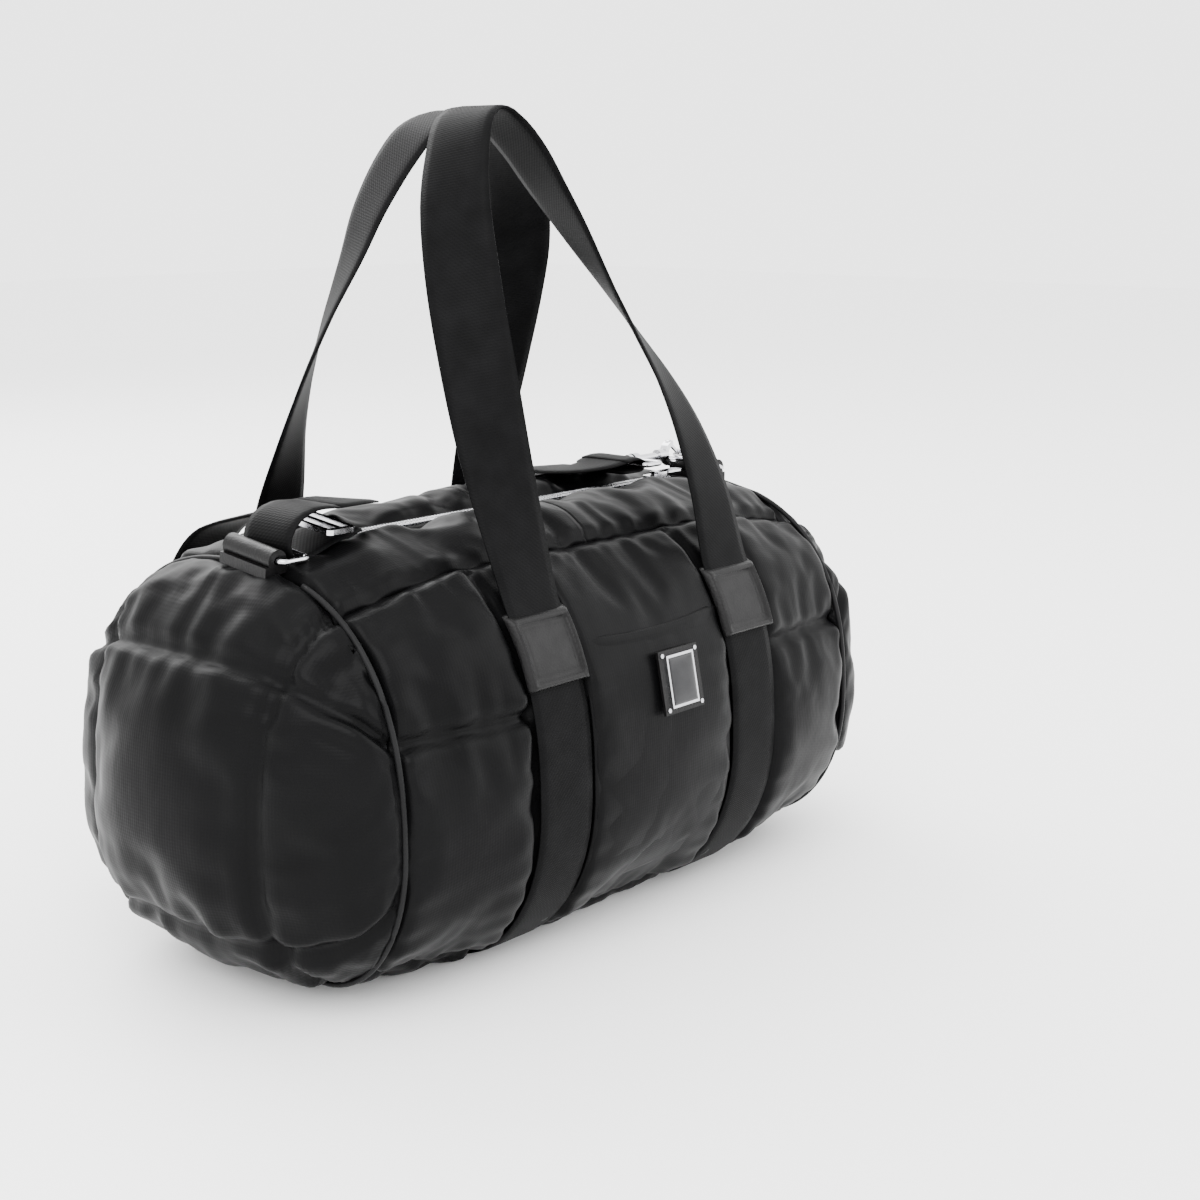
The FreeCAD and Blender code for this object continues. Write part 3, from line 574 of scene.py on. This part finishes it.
def upright_seam(z):
    """How far from the middle the upright seams of the ends run, at height z."""
    return (62 + 8 * ((z - WIDEST_Z) / (110 * MM)) ** 2) * MM


def inflate(obj, pins, pressure, growth, frames, cap):
    """Puffs cloth out between its pinned seams by a short simulation. The movement levels off at cap."""
    rest = points_of(obj.data)
    group = obj.vertex_groups.new(name="seams")
    group.add(sorted(int(p) for p in pins), 1.0, "REPLACE")
    modifier = obj.modifiers.new("cloth", "CLOTH")
    cloth = modifier.settings
    cloth.quality = 5
    cloth.mass = 0.25
    cloth.tension_stiffness = 12
    cloth.compression_stiffness = 12
    cloth.shear_stiffness = 4
    cloth.bending_stiffness = 0.3
    cloth.shrink_min = -growth
    cloth.use_pressure = True
    cloth.uniform_pressure_force = pressure
    cloth.vertex_group_mass = "seams"
    cloth.effector_weights.gravity = 0
    modifier.collision_settings.use_collision = False
    modifier.point_cache.frame_start = 1
    modifier.point_cache.frame_end = frames
    scene = bpy.context.scene
    for step in range(1, frames + 1):
        scene.frame_set(step)
    evaluated = obj.evaluated_get(bpy.context.evaluated_depsgraph_get())
    mesh = evaluated.to_mesh()
    moved = points_of(mesh) - rest
    evaluated.to_mesh_clear()
    obj.modifiers.remove(modifier)
    obj.vertex_groups.remove(group)
    scene.frame_set(1)
    length = np.linalg.norm(moved, axis=1, keepdims=True).clip(1e-9)
    set_points(obj.data, rest + moved / length * cap * np.tanh(length / cap))


def store(mesh, name, values):
    mesh.attributes.new(name, "FLOAT", "POINT").data.foreach_set("value", np.asarray(values, np.float32))


def stored(mesh, name):
    values = np.zeros(len(mesh.vertices), np.float32)
    mesh.attributes[name].data.foreach_get("value", values)
    return values.astype(float)


PANEL_DEPTH = 3 * MM      # the panels' modelled thickness, inwards from the face
TOP_DEPTH = 5 * MM        # and the padded top's
SEAM_FIELDS = ("row_gap", "row_place", "line_gap", "line_place", "rim_gap", "rim_place")


def pucker(mesh, height, groove):
    """Sinks each seam in a groove and gathers the cloth beside it in small folds that run away from it."""
    points = points_of(mesh)
    normals = points_of(mesh, "normal")
    fields = [stored(mesh, name) for name in SEAM_FIELDS]
    lift = np.zeros(len(points))
    for family in range(3):
        gap, place = fields[2 * family], fields[2 * family + 1]
        near = np.nonzero(gap < 70 * MM)[0]
        fade = np.exp(-gap[near] / (18 * MM)) * (1 - np.exp(-gap[near] / (3 * MM)))
        folds = [noise.noise(Vector((place[v] * 75, gap[v] * 9, 5.0 * family))) for v in near]
        lift[near] += height * fade * np.array(folds)
        lift[near] -= groove * np.exp(-(gap[near] / (4.4 * MM)) ** 2)
    slow = [noise.noise(Vector(p) * 17) for p in points]
    lift += 0.5 * height * np.array(slow)
    flat = points[:, 2] < 4 * MM
    lift[flat] = np.maximum(lift[flat], 0)
    points += normals * lift[:, None]
    points[:, 2] = points[:, 2].clip(0.3 * MM)
    set_points(mesh, points)


def take_zone(whole, zone_ids, number, name, material):
    """A new object from the faces of one zone."""
    mesh = whole.data
    wanted = np.nonzero(zone_ids == number)[0]
    points = points_of(mesh)
    polygons = [tuple(mesh.polygons[f].vertices) for f in wanted]
    used = sorted({v for face in polygons for v in face})
    new_place = {v: n for n, v in enumerate(used)}
    uv = {}
    layer = mesh.uv_layers[0].data
    for f in wanted:
        polygon = mesh.polygons[f]
        for corner, v in zip(polygon.loop_indices, polygon.vertices):
            uv[v] = tuple(layer[corner].uv)
    faces = [[new_place[v] for v in face] for face in polygons]
    return new_object(name, points[used], faces, uvs=[uv[v] for v in used], material=material)


def build_quilting(paint):
    """The padded nylon panels: one skin, puffed between its seams, puckered and cut along the seams."""
    skin = Skin()
    whole = new_object("whole_skin", skin.points, skin.faces, uvs=skin.uvs)
    names = sorted(set(skin.zones))
    zone = whole.data.attributes.new("zone", "INT", "FACE")
    zone.data.foreach_set("value", [names.index(z) for z in skin.zones])
    columns = np.array(skin.seams)
    for column, name in enumerate(SEAM_FIELDS):
        store(whole.data, name, columns[:, column])
    inflate(whole, skin.pins, pressure=4.5, growth=0.035, frames=18, cap=11 * MM)
    apply(whole, "SUBSURF", levels=1)
    pucker(whole.data, height=3.6 * MM, groove=4.2 * MM)
    zone_ids = np.zeros(len(whole.data.polygons), np.int32)
    whole.data.attributes["zone"].data.foreach_get("value", zone_ids)

    for name in ("front_panel", "back_panel", "base_panel", "left_end_panel", "right_end_panel"):
        piece = take_zone(whole, zone_ids, names.index(name), name.replace("panel", "quilting"),
                          paint["nylon"])
        thicken(piece, PANEL_DEPTH)
        lift_off_floor(piece)
        show(piece, "bag", "nylon", name)
    for side in ("front", "back"):
        for end, hand in (("left", -1), ("right", 1)):
            zone_name = side + "_" + end + "_gusset"
            piece = take_zone(whole, zone_ids, names.index(zone_name), zone_name, paint["nylon"])
            thicken(piece, TOP_DEPTH)
            open_with_flap(piece)
            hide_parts(side + "_flap", end + "_top_panel")
    bpy.data.objects.remove(whole)


def lift_off_floor(obj):
    points = points_of(obj.data)
    points[:, 2] = points[:, 2].clip(0.2 * MM)
    set_points(obj.data, points)


def open_with_flap(piece):
    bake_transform(piece)


# ------------------------- lining, piping and the zip

def build_lining(paint):
    """The inner cloth: a barrel, open under the mouth, and a domed cap in each end."""
    stations = np.linspace(-SEAM_X + LINING_END, SEAM_X - LINING_END, 41)
    rings = [section_points(x, -LINING_INSET)[TOP_SEAM_J:RING - TOP_SEAM_J + 1] for x in stations]
    width = len(rings[0])
    points = [(x, y, z) for x, ring in zip(stations, rings) for y, z in ring]
    faces = []
    for i in range(len(stations) - 1):
        for j in range(width - 1):
            a = i * width + j
            faces.append((a, a + width, a + width + 1, a + 1))
    lining = new_object("lining_cloth", points, faces, uvs=[(p[0], p[2]) for p in points],
                        material=paint["lining"])
    folds = points_of(lining.data)
    normals = points_of(lining.data, "normal")
    lift = np.array([noise.noise(Vector((p[0] * 22, p[1] * 16, p[2] * 16))) for p in folds])
    inward = np.where(folds[:, 2] < 15 * MM, 0.0, 1.2 * MM)
    set_points(lining.data, folds + normals * (np.abs(lift) * inward)[:, None])
    thicken(lining, -0.8 * MM)
    show(lining, "bag", "lining", "lining")

    for end, hand in (("left", -1), ("right", 1)):
        ring = section_points(SEAM_X - LINING_END, -LINING_INSET)
        count = 12
        points = []
        for step in range(count + 1):
            share = math.cos(step / count * math.pi / 2)
            reach = (DOME - 8 * MM) * math.sin(step / count * math.pi / 2)
            x = hand * (SEAM_X - LINING_END + reach)
            points += [(x, y * share, WIDEST_Z + (z - WIDEST_Z) * share) for y, z in ring]
        faces = []
        for step in range(count):
            for j in range(RING):
                k = (j + 1) % RING
                a, b = step * RING + j, step * RING + k
                faces.append((a, b, b + RING, a + RING) if hand < 0 else (a, a + RING, b + RING, b))
        cap = new_object(end + "_lining_end", points, faces, uvs=[(p[1], p[2]) for p in points],
                         material=paint["lining"])
        thicken(cap, 0.8 * MM)
        show(cap, "bag", "lining")


def tube(name, path, radius, material, sides=10):
    """A round cord through the given points."""
    path = [Vector(p) for p in path]
    points, faces, uvs = [], [], []
    count = len(path)
    travelled = 0.0
    for i, here in enumerate(path):
        before = path[max(i - 1, 0)]
        after = path[min(i + 1, count - 1)]
        run = (after - before).normalized()
        aside = run.cross(Vector((0, 0, 1)) if abs(run.z) < 0.9 else Vector((1, 0, 0))).normalized()
        up = aside.cross(run)
        for k in range(sides):
            a = 2 * math.pi * k / sides
            points.append(here + (aside * math.cos(a) + up * math.sin(a)) * radius)
            uvs.append((travelled, radius * a))
        travelled += (after - here).length
    for i in range(count - 1):
        for k in range(sides):
            m = (k + 1) % sides
            faces.append((i * sides + k, (i + 1) * sides + k, (i + 1) * sides + m, i * sides + m))
    faces.append(tuple(range(sides)))
    faces.append(tuple((count - 1) * sides + k for k in range(sides))[::-1])
    return new_object(name, points, faces, uvs=uvs, material=material)


def build_piping(paint):
    for end, hand in (("left", -1), ("right", 1)):
        low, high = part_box(end + "_end_tab")
        ring = section_points(SEAM_X)
        path = []
        for y, z in np.concatenate([ring[TOP_SEAM_J - 6:], ring[:6]]):
            if z > 150 * MM and low.y - 2 * MM < y < high.y + 2 * MM:
                continue
            away = Vector((0, y, z - WIDEST_Z)).normalized() * 0.4 * MM
            path.append((hand * SEAM_X, y + away.y, max(z + away.z, 1.6 * MM)))
        break_at = max(range(len(path)), key=lambda n: (Vector(path[n]) - Vector(path[n - 1])).length)
        path = path[break_at:] + path[:break_at]
        cord = tube(end + "_seam_cord", path, CORD_RADIUS, paint["piping"])
        show(cord, "bag", "piping", end + "_end_piping")


def block(name, low, high, bevel, material):
    """A small block with rounded edges."""
    x0, y0, z0 = low
    x1, y1, z1 = high
    points = [(x, y, z) for z in (z0, z1) for y in (y0, y1) for x in (x0, x1)]
    faces = [(0, 2, 3, 1), (4, 5, 7, 6), (0, 1, 5, 4), (2, 6, 7, 3), (0, 4, 6, 2), (1, 3, 7, 5)]
    obj = new_object(name, points, faces, uvs=[(p[0], p[1]) for p in points], material=material)
    return apply(obj, "BEVEL", width=bevel, segments=3)


TOOTH_PITCH = 2.2 * MM


def build_zip(paint):
    """Tapes and interlocked teeth as four quarters, split like the mouth's padded sides."""
    for side, hand_y in (("front", -1), ("back", 1)):
        for end, hand_x in (("left", -1), ("right", 1)):
            tape_points, tape_faces = [], []
            count = 50
            for i in range(count + 1):
                x = hand_x * ZIP_X * i / count
                for y in (ZIP_EDGE_Y + 2.0 * MM, 6 * MM, 3.0 * MM):
                    lift = 0.15 * MM * math.sin(x * 400)
                    tape_points.append((x, hand_y * y, ZIP_Z + lift))
            for i in range(count):
                for k in range(2):
                    a = i * 3 + k
                    face = (a, a + 1, a + 4, a + 3)
                    tape_faces.append(face if hand_x * hand_y > 0 else face[::-1])
            tape = new_object(side + "_" + end + "_tape", tape_points, tape_faces,
                              uvs=[(p[0], p[1]) for p in tape_points], material=paint["zip_tape"])
            thicken(tape, 0.9 * MM)
            open_with_flap(tape)
            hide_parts(side + "_zip_tape", end + "_zip_end_tapes")

            points, faces = [], []
            shift = 0.0 if hand_y < 0 else TOOTH_PITCH / 2
            x = 0.6 * MM + shift
            while x < ZIP_X - 1 * MM:
                add_tooth(points, faces, hand_x * x, hand_y)
                x += TOOTH_PITCH
            teeth = new_object(side + "_" + end + "_teeth", points, faces,
                               uvs=[(p[0], p[1]) for p in points], smooth=False, material=paint["zip_metal"])
            apply(teeth, "BEVEL", width=0.18 * MM, segments=2)
            open_with_flap(teeth)
            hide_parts(side + "_zip_teeth", end + "_zip_end_teeth")
    for end in ("left", "right"):
        low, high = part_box(end + "_zip_stop")
        stop = block(end + "_zip_cover", low, high, 1.0 * MM, paint["zip_tape"])
        apply(stop, "SUBSURF", levels=1)
        show(stop, "bag", "zip_tape", end + "_zip_stop")


def add_tooth(points, faces, x, hand_y):
    """One tooth, clamped on the tape's edge, its nose just past the zip's middle."""
    half = 0.62 * MM
    tall = 1.25 * MM
    start = len(points)
    root, shoulder, nose = 4.4 * MM, 1.2 * MM, -0.5 * MM
    for y, wide, high in ((root, half * 1.15, tall), (shoulder, half, tall), (nose, half * 0.8, tall * 0.7)):
        for dx, dz in ((-wide, -high), (wide, -high), (wide, high), (-wide, high)):
            points.append((x + dx, hand_y * y, ZIP_Z + dz))
    flip = hand_y > 0
    for ring in (0, 4):
        for k in range(4):
            m = (k + 1) % 4
            face = (start + ring + k, start + ring + m, start + ring + 4 + m, start + ring + 4 + k)
            faces.append(face if flip else face[::-1])
    first = (start + 3, start + 2, start + 1, start)
    last = (start + 8, start + 9, start + 10, start + 11)
    faces.append(first if flip else first[::-1])
    faces.append(last if flip else last[::-1])


# ------------------------- webbing

def spline(stations, step):
    """Catmull-Rom points through the stations, about step apart."""
    rows = np.array(stations, float)
    rows = np.concatenate([[2 * rows[0] - rows[1]], rows, [2 * rows[-1] - rows[-2]]])
    out = []
    for i in range(1, len(rows) - 2):
        p0, p1, p2, p3 = rows[i - 1:i + 3]
        count = max(2, int(np.linalg.norm((p2 - p1)[:3]) / step))
        for k in range(count):
            t = k / count
            out.append(0.5 * (2 * p1 + (p2 - p0) * t + (2 * p0 - 5 * p1 + 4 * p2 - p3) * t ** 2
                              + (3 * p1 - p0 - 3 * p2 + p3) * t ** 3))
    out.append(rows[-2])
    return np.array(out)


def strip(name, centres, widths, width, thick, material):
    """A flat woven strap with rounded edges, through centres, its width along widths."""
    across = 8
    face = [(-1 + 2 * k / across, 1.0 if 0 < k < across else 0.35) for k in range(across + 1)]
    profile = face + [(u, -v) for u, v in reversed(face)]
    points, faces, uvs = [], [], []
    count = len(centres)
    sides = len(profile)
    travelled = 0.0
    for i, here in enumerate(centres):
        run = Vector(centres[min(i + 1, count - 1)]) - Vector(centres[max(i - 1, 0)])
        run.normalize()
        wide = Vector(widths[i])
        wide = (wide - run * wide.dot(run)).normalized()
        face_out = wide.cross(run)
        for u, v in profile:
            points.append(Vector(here) + wide * (u * width / 2) + face_out * (v * thick / 2))
            uvs.append((u * width / 2, travelled))
        if i + 1 < count:
            travelled += float(np.linalg.norm(np.array(centres[i + 1]) - np.array(here)))
    for i in range(count - 1):
        for k in range(sides):
            m = (k + 1) % sides
            faces.append((i * sides + k, i * sides + m, (i + 1) * sides + m, (i + 1) * sides + k))
    faces.append(tuple(range(sides))[::-1])
    faces.append(tuple((count - 1) * sides + k for k in range(sides)))
    return new_object(name, points, faces, uvs=uvs, material=material)


def webbing_path(stations, step, sense):
    """Centres and width directions from stations of x, y, z in millimetres and the width's turn from
    +X in degrees, towards +Y where sense is 1 and towards -Y where it's -1."""
    rows = spline([(x * MM, y * MM, z * MM, turn * MM) for x, y, z, turn in stations], step)
    angles = np.radians(rows[:, 3] / MM)
    widths = np.stack([np.cos(angles), sense * np.sin(angles), np.zeros(len(angles))], 1)
    return rows[:, :3], widths


# x, y, z in millimetres and the width's turn from +X towards -Y in degrees, from root to root
FRONT_HANDLE = [
    (-78, -104.2, 186, 0), (-78, -100.5, 192.5, 0), (-79, -91, 222, 8), (-79, -77, 265, 25),
    (-77, -63, 310, 42), (-74, -51, 350, 55), (-67, -39, 388, 70), (-54, -29, 417, 82), (-41, -22, 431, 88),
    (-28, -20.5, 435, 90), (-16, -22, 428, 92), (-5, -28, 414, 96), (6, -34, 395, 102),
    (18, -40, 375, 110), (30, -47, 353, 121), (40, -54, 334, 131), (50, -61, 315, 140),
    (62, -70, 291, 151), (72, -80, 262, 163), (77, -91, 228, 173), (78, -100.5, 192.5, 180),
    (78, -104.2, 186, 180)]
BACK_HANDLE = [
    (-78, 104.2, 186, 180), (-78, 100.5, 192.5, 180), (-79, 91, 225, 170), (-80, 79, 259, 152),
    (-77, 68, 292, 139), (-70, 58, 325, 126), (-60, 48, 358, 113), (-52, 41, 384, 104), (-41, 32, 409, 97),
    (-28, 25, 426, 93), (-8, 20.5, 434, 90), (14, 21, 431, 88), (33, 26, 417, 82),
    (48, 32, 401, 75), (59, 38, 385, 67), (67, 46, 362, 56), (71, 56, 334, 44),
    (73, 66, 303, 31), (75, 77, 268, 19), (77, 90, 230, 8), (78, 100.5, 192.5, 0), (78, 104.2, 186, 0)]


def build_handles(paint):
    for side, stations in (("front", FRONT_HANDLE), ("back", BACK_HANDLE)):
        centres, widths = webbing_path(stations, 5 * MM, -1)
        handle = strip(side + "_handle_webbing", centres, widths, HANDLE_WIDE, HANDLE_THICK, paint["webbing"])
        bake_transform(handle)
        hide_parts(side + "_handle")


def side_point(x, z, outset, hand_y):
    """A point on the barrel's side at height z, and the outline's upward direction there."""
    outline = half_outline(x, outset)
    widest = int(np.argmax(outline[:, 0]))
    upper = outline[:widest + 1]
    y = np.interp(-z, -upper[:, 1], upper[:, 0])
    y_above = np.interp(-(z + MM), -upper[:, 1], upper[:, 0])
    rise = Vector((0, hand_y * (y_above - y), MM)).normalized()
    return Vector((x, hand_y * y, z)), rise


def build_body_webbing(paint):
    for end, hand in (("left", -1), ("right", 1)):
        outline = half_outline(WEB_X, WEB_THICK / 2)
        outline[:, 1] = outline[:, 1].clip(WEB_THICK / 2 + 0.2 * MM)
        keep = outline[(outline[:, 1] < web_high.z) & (outline[:, 0] >= 0)]
        front = [(hand * WEB_X, -y, z) for y, z in keep]
        back = [(hand * WEB_X, y, z) for y, z in keep[::-1]][1:]
        path = thinned(front + back, 5 * MM)
        webbing = strip(end + "_side_webbing", path, [(1, 0, 0)] * len(path), 2 * WEB_HALF, WEB_THICK,
                        paint["webbing"])
        show(webbing, "bag", "webbing", end + "_body_webbing")


def thinned(path, step):
    """The path's points about step apart, with both ends kept."""
    kept = [path[0]]
    for point in path[1:-1]:
        if (Vector(point) - Vector(kept[-1])).length >= step:
            kept.append(point)
    return kept + [path[-1]]


def build_patches(paint):
    """Leather patches with a raised piped edge, over the handles' sewn ends."""
    wide = patch_high.x - patch_low.x
    for side, hand_y in (("front", -1), ("back", 1)):
        for end, hand_x in (("left", -1), ("right", 1)):
            columns, rows = 30, 26
            outer, inner = [], []
            for r in range(rows + 1):
                z = patch_low.z + (patch_high.z - patch_low.z) * r / rows
                for c in range(columns + 1):
                    u = -wide / 2 + wide * c / columns
                    edge = min(wide / 2 - abs(u), z - patch_low.z, patch_high.z - z)
                    ridge = 1.9 * MM * math.exp(-((edge - 2.6 * MM) / (1.5 * MM)) ** 2)
                    stitch = -0.5 * MM * math.exp(-((edge - 5.6 * MM) / (0.7 * MM)) ** 2)
                    field = 2.2 * MM * min(1.0, edge / (1.6 * MM)) ** 0.5
                    pull = 1.0 if edge > 0 else 0.0
                    for height, out in ((field + ridge + stitch * pull, outer), (0.0, inner)):
                        x = hand_x * WEB_X + u
                        out.append(side_point(x, z, WEB_THICK + 0.5 * MM + height, hand_y)[0])
            patch = closed_sheet(side + "_" + end + "_leather", outer, inner, columns, rows,
                                 hand_y < 0, paint["leather"])
            show(patch, "bag", "leather", side + "_" + end + "_patch")


def closed_sheet(name, outer, inner, columns, rows, forward, material):
    """A closed pad between two grids of points."""
    width = columns + 1
    offset = len(outer)
    faces = []
    for r in range(rows):
        for c in range(columns):
            a = r * width + c
            faces.append((a, a + 1, a + width + 1, a + width))
            faces.append((offset + a, offset + a + width, offset + a + width + 1, offset + a + 1))
    rim = list(range(columns)) + [r * width + columns for r in range(rows)]
    rim += [rows * width + c for c in range(columns, 0, -1)] + [r * width for r in range(rows, 0, -1)]
    for a, b in zip(rim, rim[1:] + rim[:1]):
        faces.append((b, a, offset + a, offset + b))
    if not forward:
        faces = [face[::-1] for face in faces]
    points = outer + inner
    return new_object(name, points, faces, uvs=[(p[0], p[2]) for p in points], material=material)


# ------------------------- pocket and badge

def build_pocket(paint):
    """The patch pocket: a smooth pad, gathered a little at its sides, with a bound top edge."""
    half = pocket_high.x
    columns, rows = 56, 66
    outer, inner = [], []
    for r in range(rows + 1):
        share_z = r / rows
        for c in range(columns + 1):
            share_x = -1 + 2 * c / columns
            x = half * share_x
            top = pocket_high.z - 4 * MM + 4 * MM * share_x ** 2
            z = pocket_low.z + (top - pocket_low.z) * share_z
            edge = min(half * (1 - abs(share_x)), (z - pocket_low.z))
            puff = 5.2 * MM * (1 - math.exp(-edge / (16 * MM)))
            fold = noise.noise(Vector((x * 10, z * 60, 3.0))) * math.exp(-edge / (20 * MM))
            slow = noise.noise(Vector((x * 22, z * 22, 8.0)))
            binding = 0.9 * MM * math.exp(-((top - z - 2.5 * MM) / (2 * MM)) ** 2)
            height = 1.2 * MM + puff + 1.5 * MM * fold * min(1, edge / (3 * MM)) + 0.8 * MM * slow + binding
            outer.append(pocket_place(x, z, height))
            inner.append(pocket_place(x, z, -0.5 * MM))
    pocket = closed_sheet("pocket_cloth", outer, inner, columns, rows, True, paint["nylon"])
    show(pocket, "bag", "nylon", "front_pocket")


def pocket_place(x, z, height):
    """A point on the front, above or below the widest line, standing out by height."""
    outline = half_outline(x)
    along_z = outline[:, 1]
    widest = int(np.argmax(outline[:, 0]))
    if z >= WIDEST_Z:
        y = np.interp(-z, -along_z[:widest + 1], outline[:widest + 1, 0])
    else:
        y = np.interp(-z, -along_z[widest:], outline[widest:, 0])
    lean = (z - WIDEST_Z) / (TOP_MID - WIDEST_Z)
    out = Vector((0, -1, 0.75 * lean)).normalized()
    return Vector((x, -y, z)) + out * height


ENAMEL_HALF = (9.7 * MM, 12.6 * MM)


def build_badge(paint):
    """The badge keeps its plain plate and rivets. Its face is a dark enamel field with no mark."""
    low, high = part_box("badge_plate")
    centre = (low + high) / 2
    plate = frame["nodes"]["badge_plate"]
    face = max(plate.data.polygons, key=lambda f: -f.normal.y * f.area)
    normal = face.normal
    up = Vector((0, 0, 1))
    up = (up - normal * up.dot(normal)).normalized()
    right = up.cross(normal)
    columns, rows = 16, 20
    level = (Vector(plate.data.vertices[face.vertices[0]].co) - centre).dot(normal)
    outer, inner = [], []
    for r in range(rows + 1):
        for c in range(columns + 1):
            u = -1 + 2 * c / columns
            v = -1 + 2 * r / rows
            swell = 0.5 * MM * (1 - u ** 4) * (1 - v ** 4)
            spot = centre + right * (u * ENAMEL_HALF[0]) + up * (v * ENAMEL_HALF[1])
            outer.append(spot + normal * (level + 0.15 * MM + swell))
            inner.append(spot + normal * (level - 0.3 * MM))
    field = closed_sheet("badge_enamel", outer, inner, columns, rows, True, paint["enamel"])
    show(field, "bag", "silver_metal")


# ------------------------- shoulder strap

# the loop through the left ring, then along the top, over the back edge and down behind the bag:
# x, y, z in millimetres, then the width's direction in the ground plane, degrees from +X towards +Y
LEFT_STRAP = [
    (-128, -14, 228.0, 90), (-138, -14, 226.0, 90), (-148, -14, 223.6, 90), (-159, -14, 219.8, 90),
    (-167, -14, 218.8, 90), (-173.4, -14, 222.5, 90), (-173.0, -14, 230.5, 90), (-167, -14, 238.0, 90),
    (-156, -14, 241.8, 90), (-142, -14, 241.2, 90)]
TO_BACK_LEFT = [
    (-142, -14, 241.2, 90), (-131, -13, 241.0, 93), (-121, -9, 240, 108),
    (-111, 2, 237, 130), (-107, 16, 233.5, 158), (-107, 32, 231, 180), (-110, 48, 228, 192),
    (-115, 66, 223.5, 190), (-121, 90, 214, 180), (-124, 108, 195, 180), (-124, 123, 168, 184),
    (-123, 134, 138, 196), (-119, 141, 108, 212), (-112, 146, 76, 230), (-101, 150, 46, 246),
    (-86, 152, 21, 258), (-66, 153, 7, 266), (-40, 153, 2.4, 270), (0, 154, 2.2, 270)]
RIGHT_LOOP = [
    (103, 10, 227.4, 90), (111, 10, 227.3, 90), (117, 10, 227.6, 90), (120.6, 10, 231.0, 90),
    (117, 10, 234.4, 90), (110, 10, 234.6, 90), (103, 10, 233.9, 90)]
TO_BACK_RIGHT = [
    (110, 10, 234.6, 270), (99, 11, 232.5, 262), (88, 16, 230.5, 235), (82, 28, 229.0, 196),
    (86, 42, 228.0, 168), (96, 57, 225.5, 155), (109, 74, 220.5, 165), (120, 92, 212, 178),
    (124, 108, 195, 180), (124, 123, 168, 176), (123, 134, 138, 164), (119, 141, 108, 148),
    (112, 146, 76, 130),
    (101, 150, 46, 114), (86, 152, 21, 102), (66, 153, 7, 94), (40, 153, 2.4, 90), (0, 154, 2.2, 90)]


def build_strap(paint):
    """The sewn loops, and the strap as two halves that meet on the floor behind the bag."""
    for end, loop, onward in (("left", LEFT_STRAP, TO_BACK_LEFT), ("right", RIGHT_LOOP, TO_BACK_RIGHT)):
        centres, widths = webbing_path(loop, 4 * MM, 1)
        piece = strip(end + "_loop_webbing", centres, widths, LOOP_WIDE, LOOP_THICK, paint["webbing"])
        show(piece, "bag", "webbing", end + "_strap_loop")
        centres, widths = webbing_path(onward, 4 * MM, 1)
        piece = strip(end + "_strap_webbing", centres, widths, LOOP_WIDE, WEB_THICK, paint["webbing"])
        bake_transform(piece)
        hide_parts("shoulder_strap")


# ------------------------- carried-over CAD pieces

def dress_cad(paint):
    """Gives the CAD pieces that stay visible their finished materials."""
    slots = {s["node"]: s["material_slot"] for s in frame["record"]["subparts"]}
    for name, node in frame["nodes"].items():
        if node.hide_render:
            continue
        node.data.materials.clear()
        node.data.materials.append(paint[slots[name]])


make_stage()
paint = make_materials()
build_strap(paint)
build_quilting(paint)
build_lining(paint)
build_piping(paint)
build_zip(paint)
build_body_webbing(paint)
build_handles(paint)
build_patches(paint)
build_pocket(paint)
build_badge(paint)
dress_cad(paint)
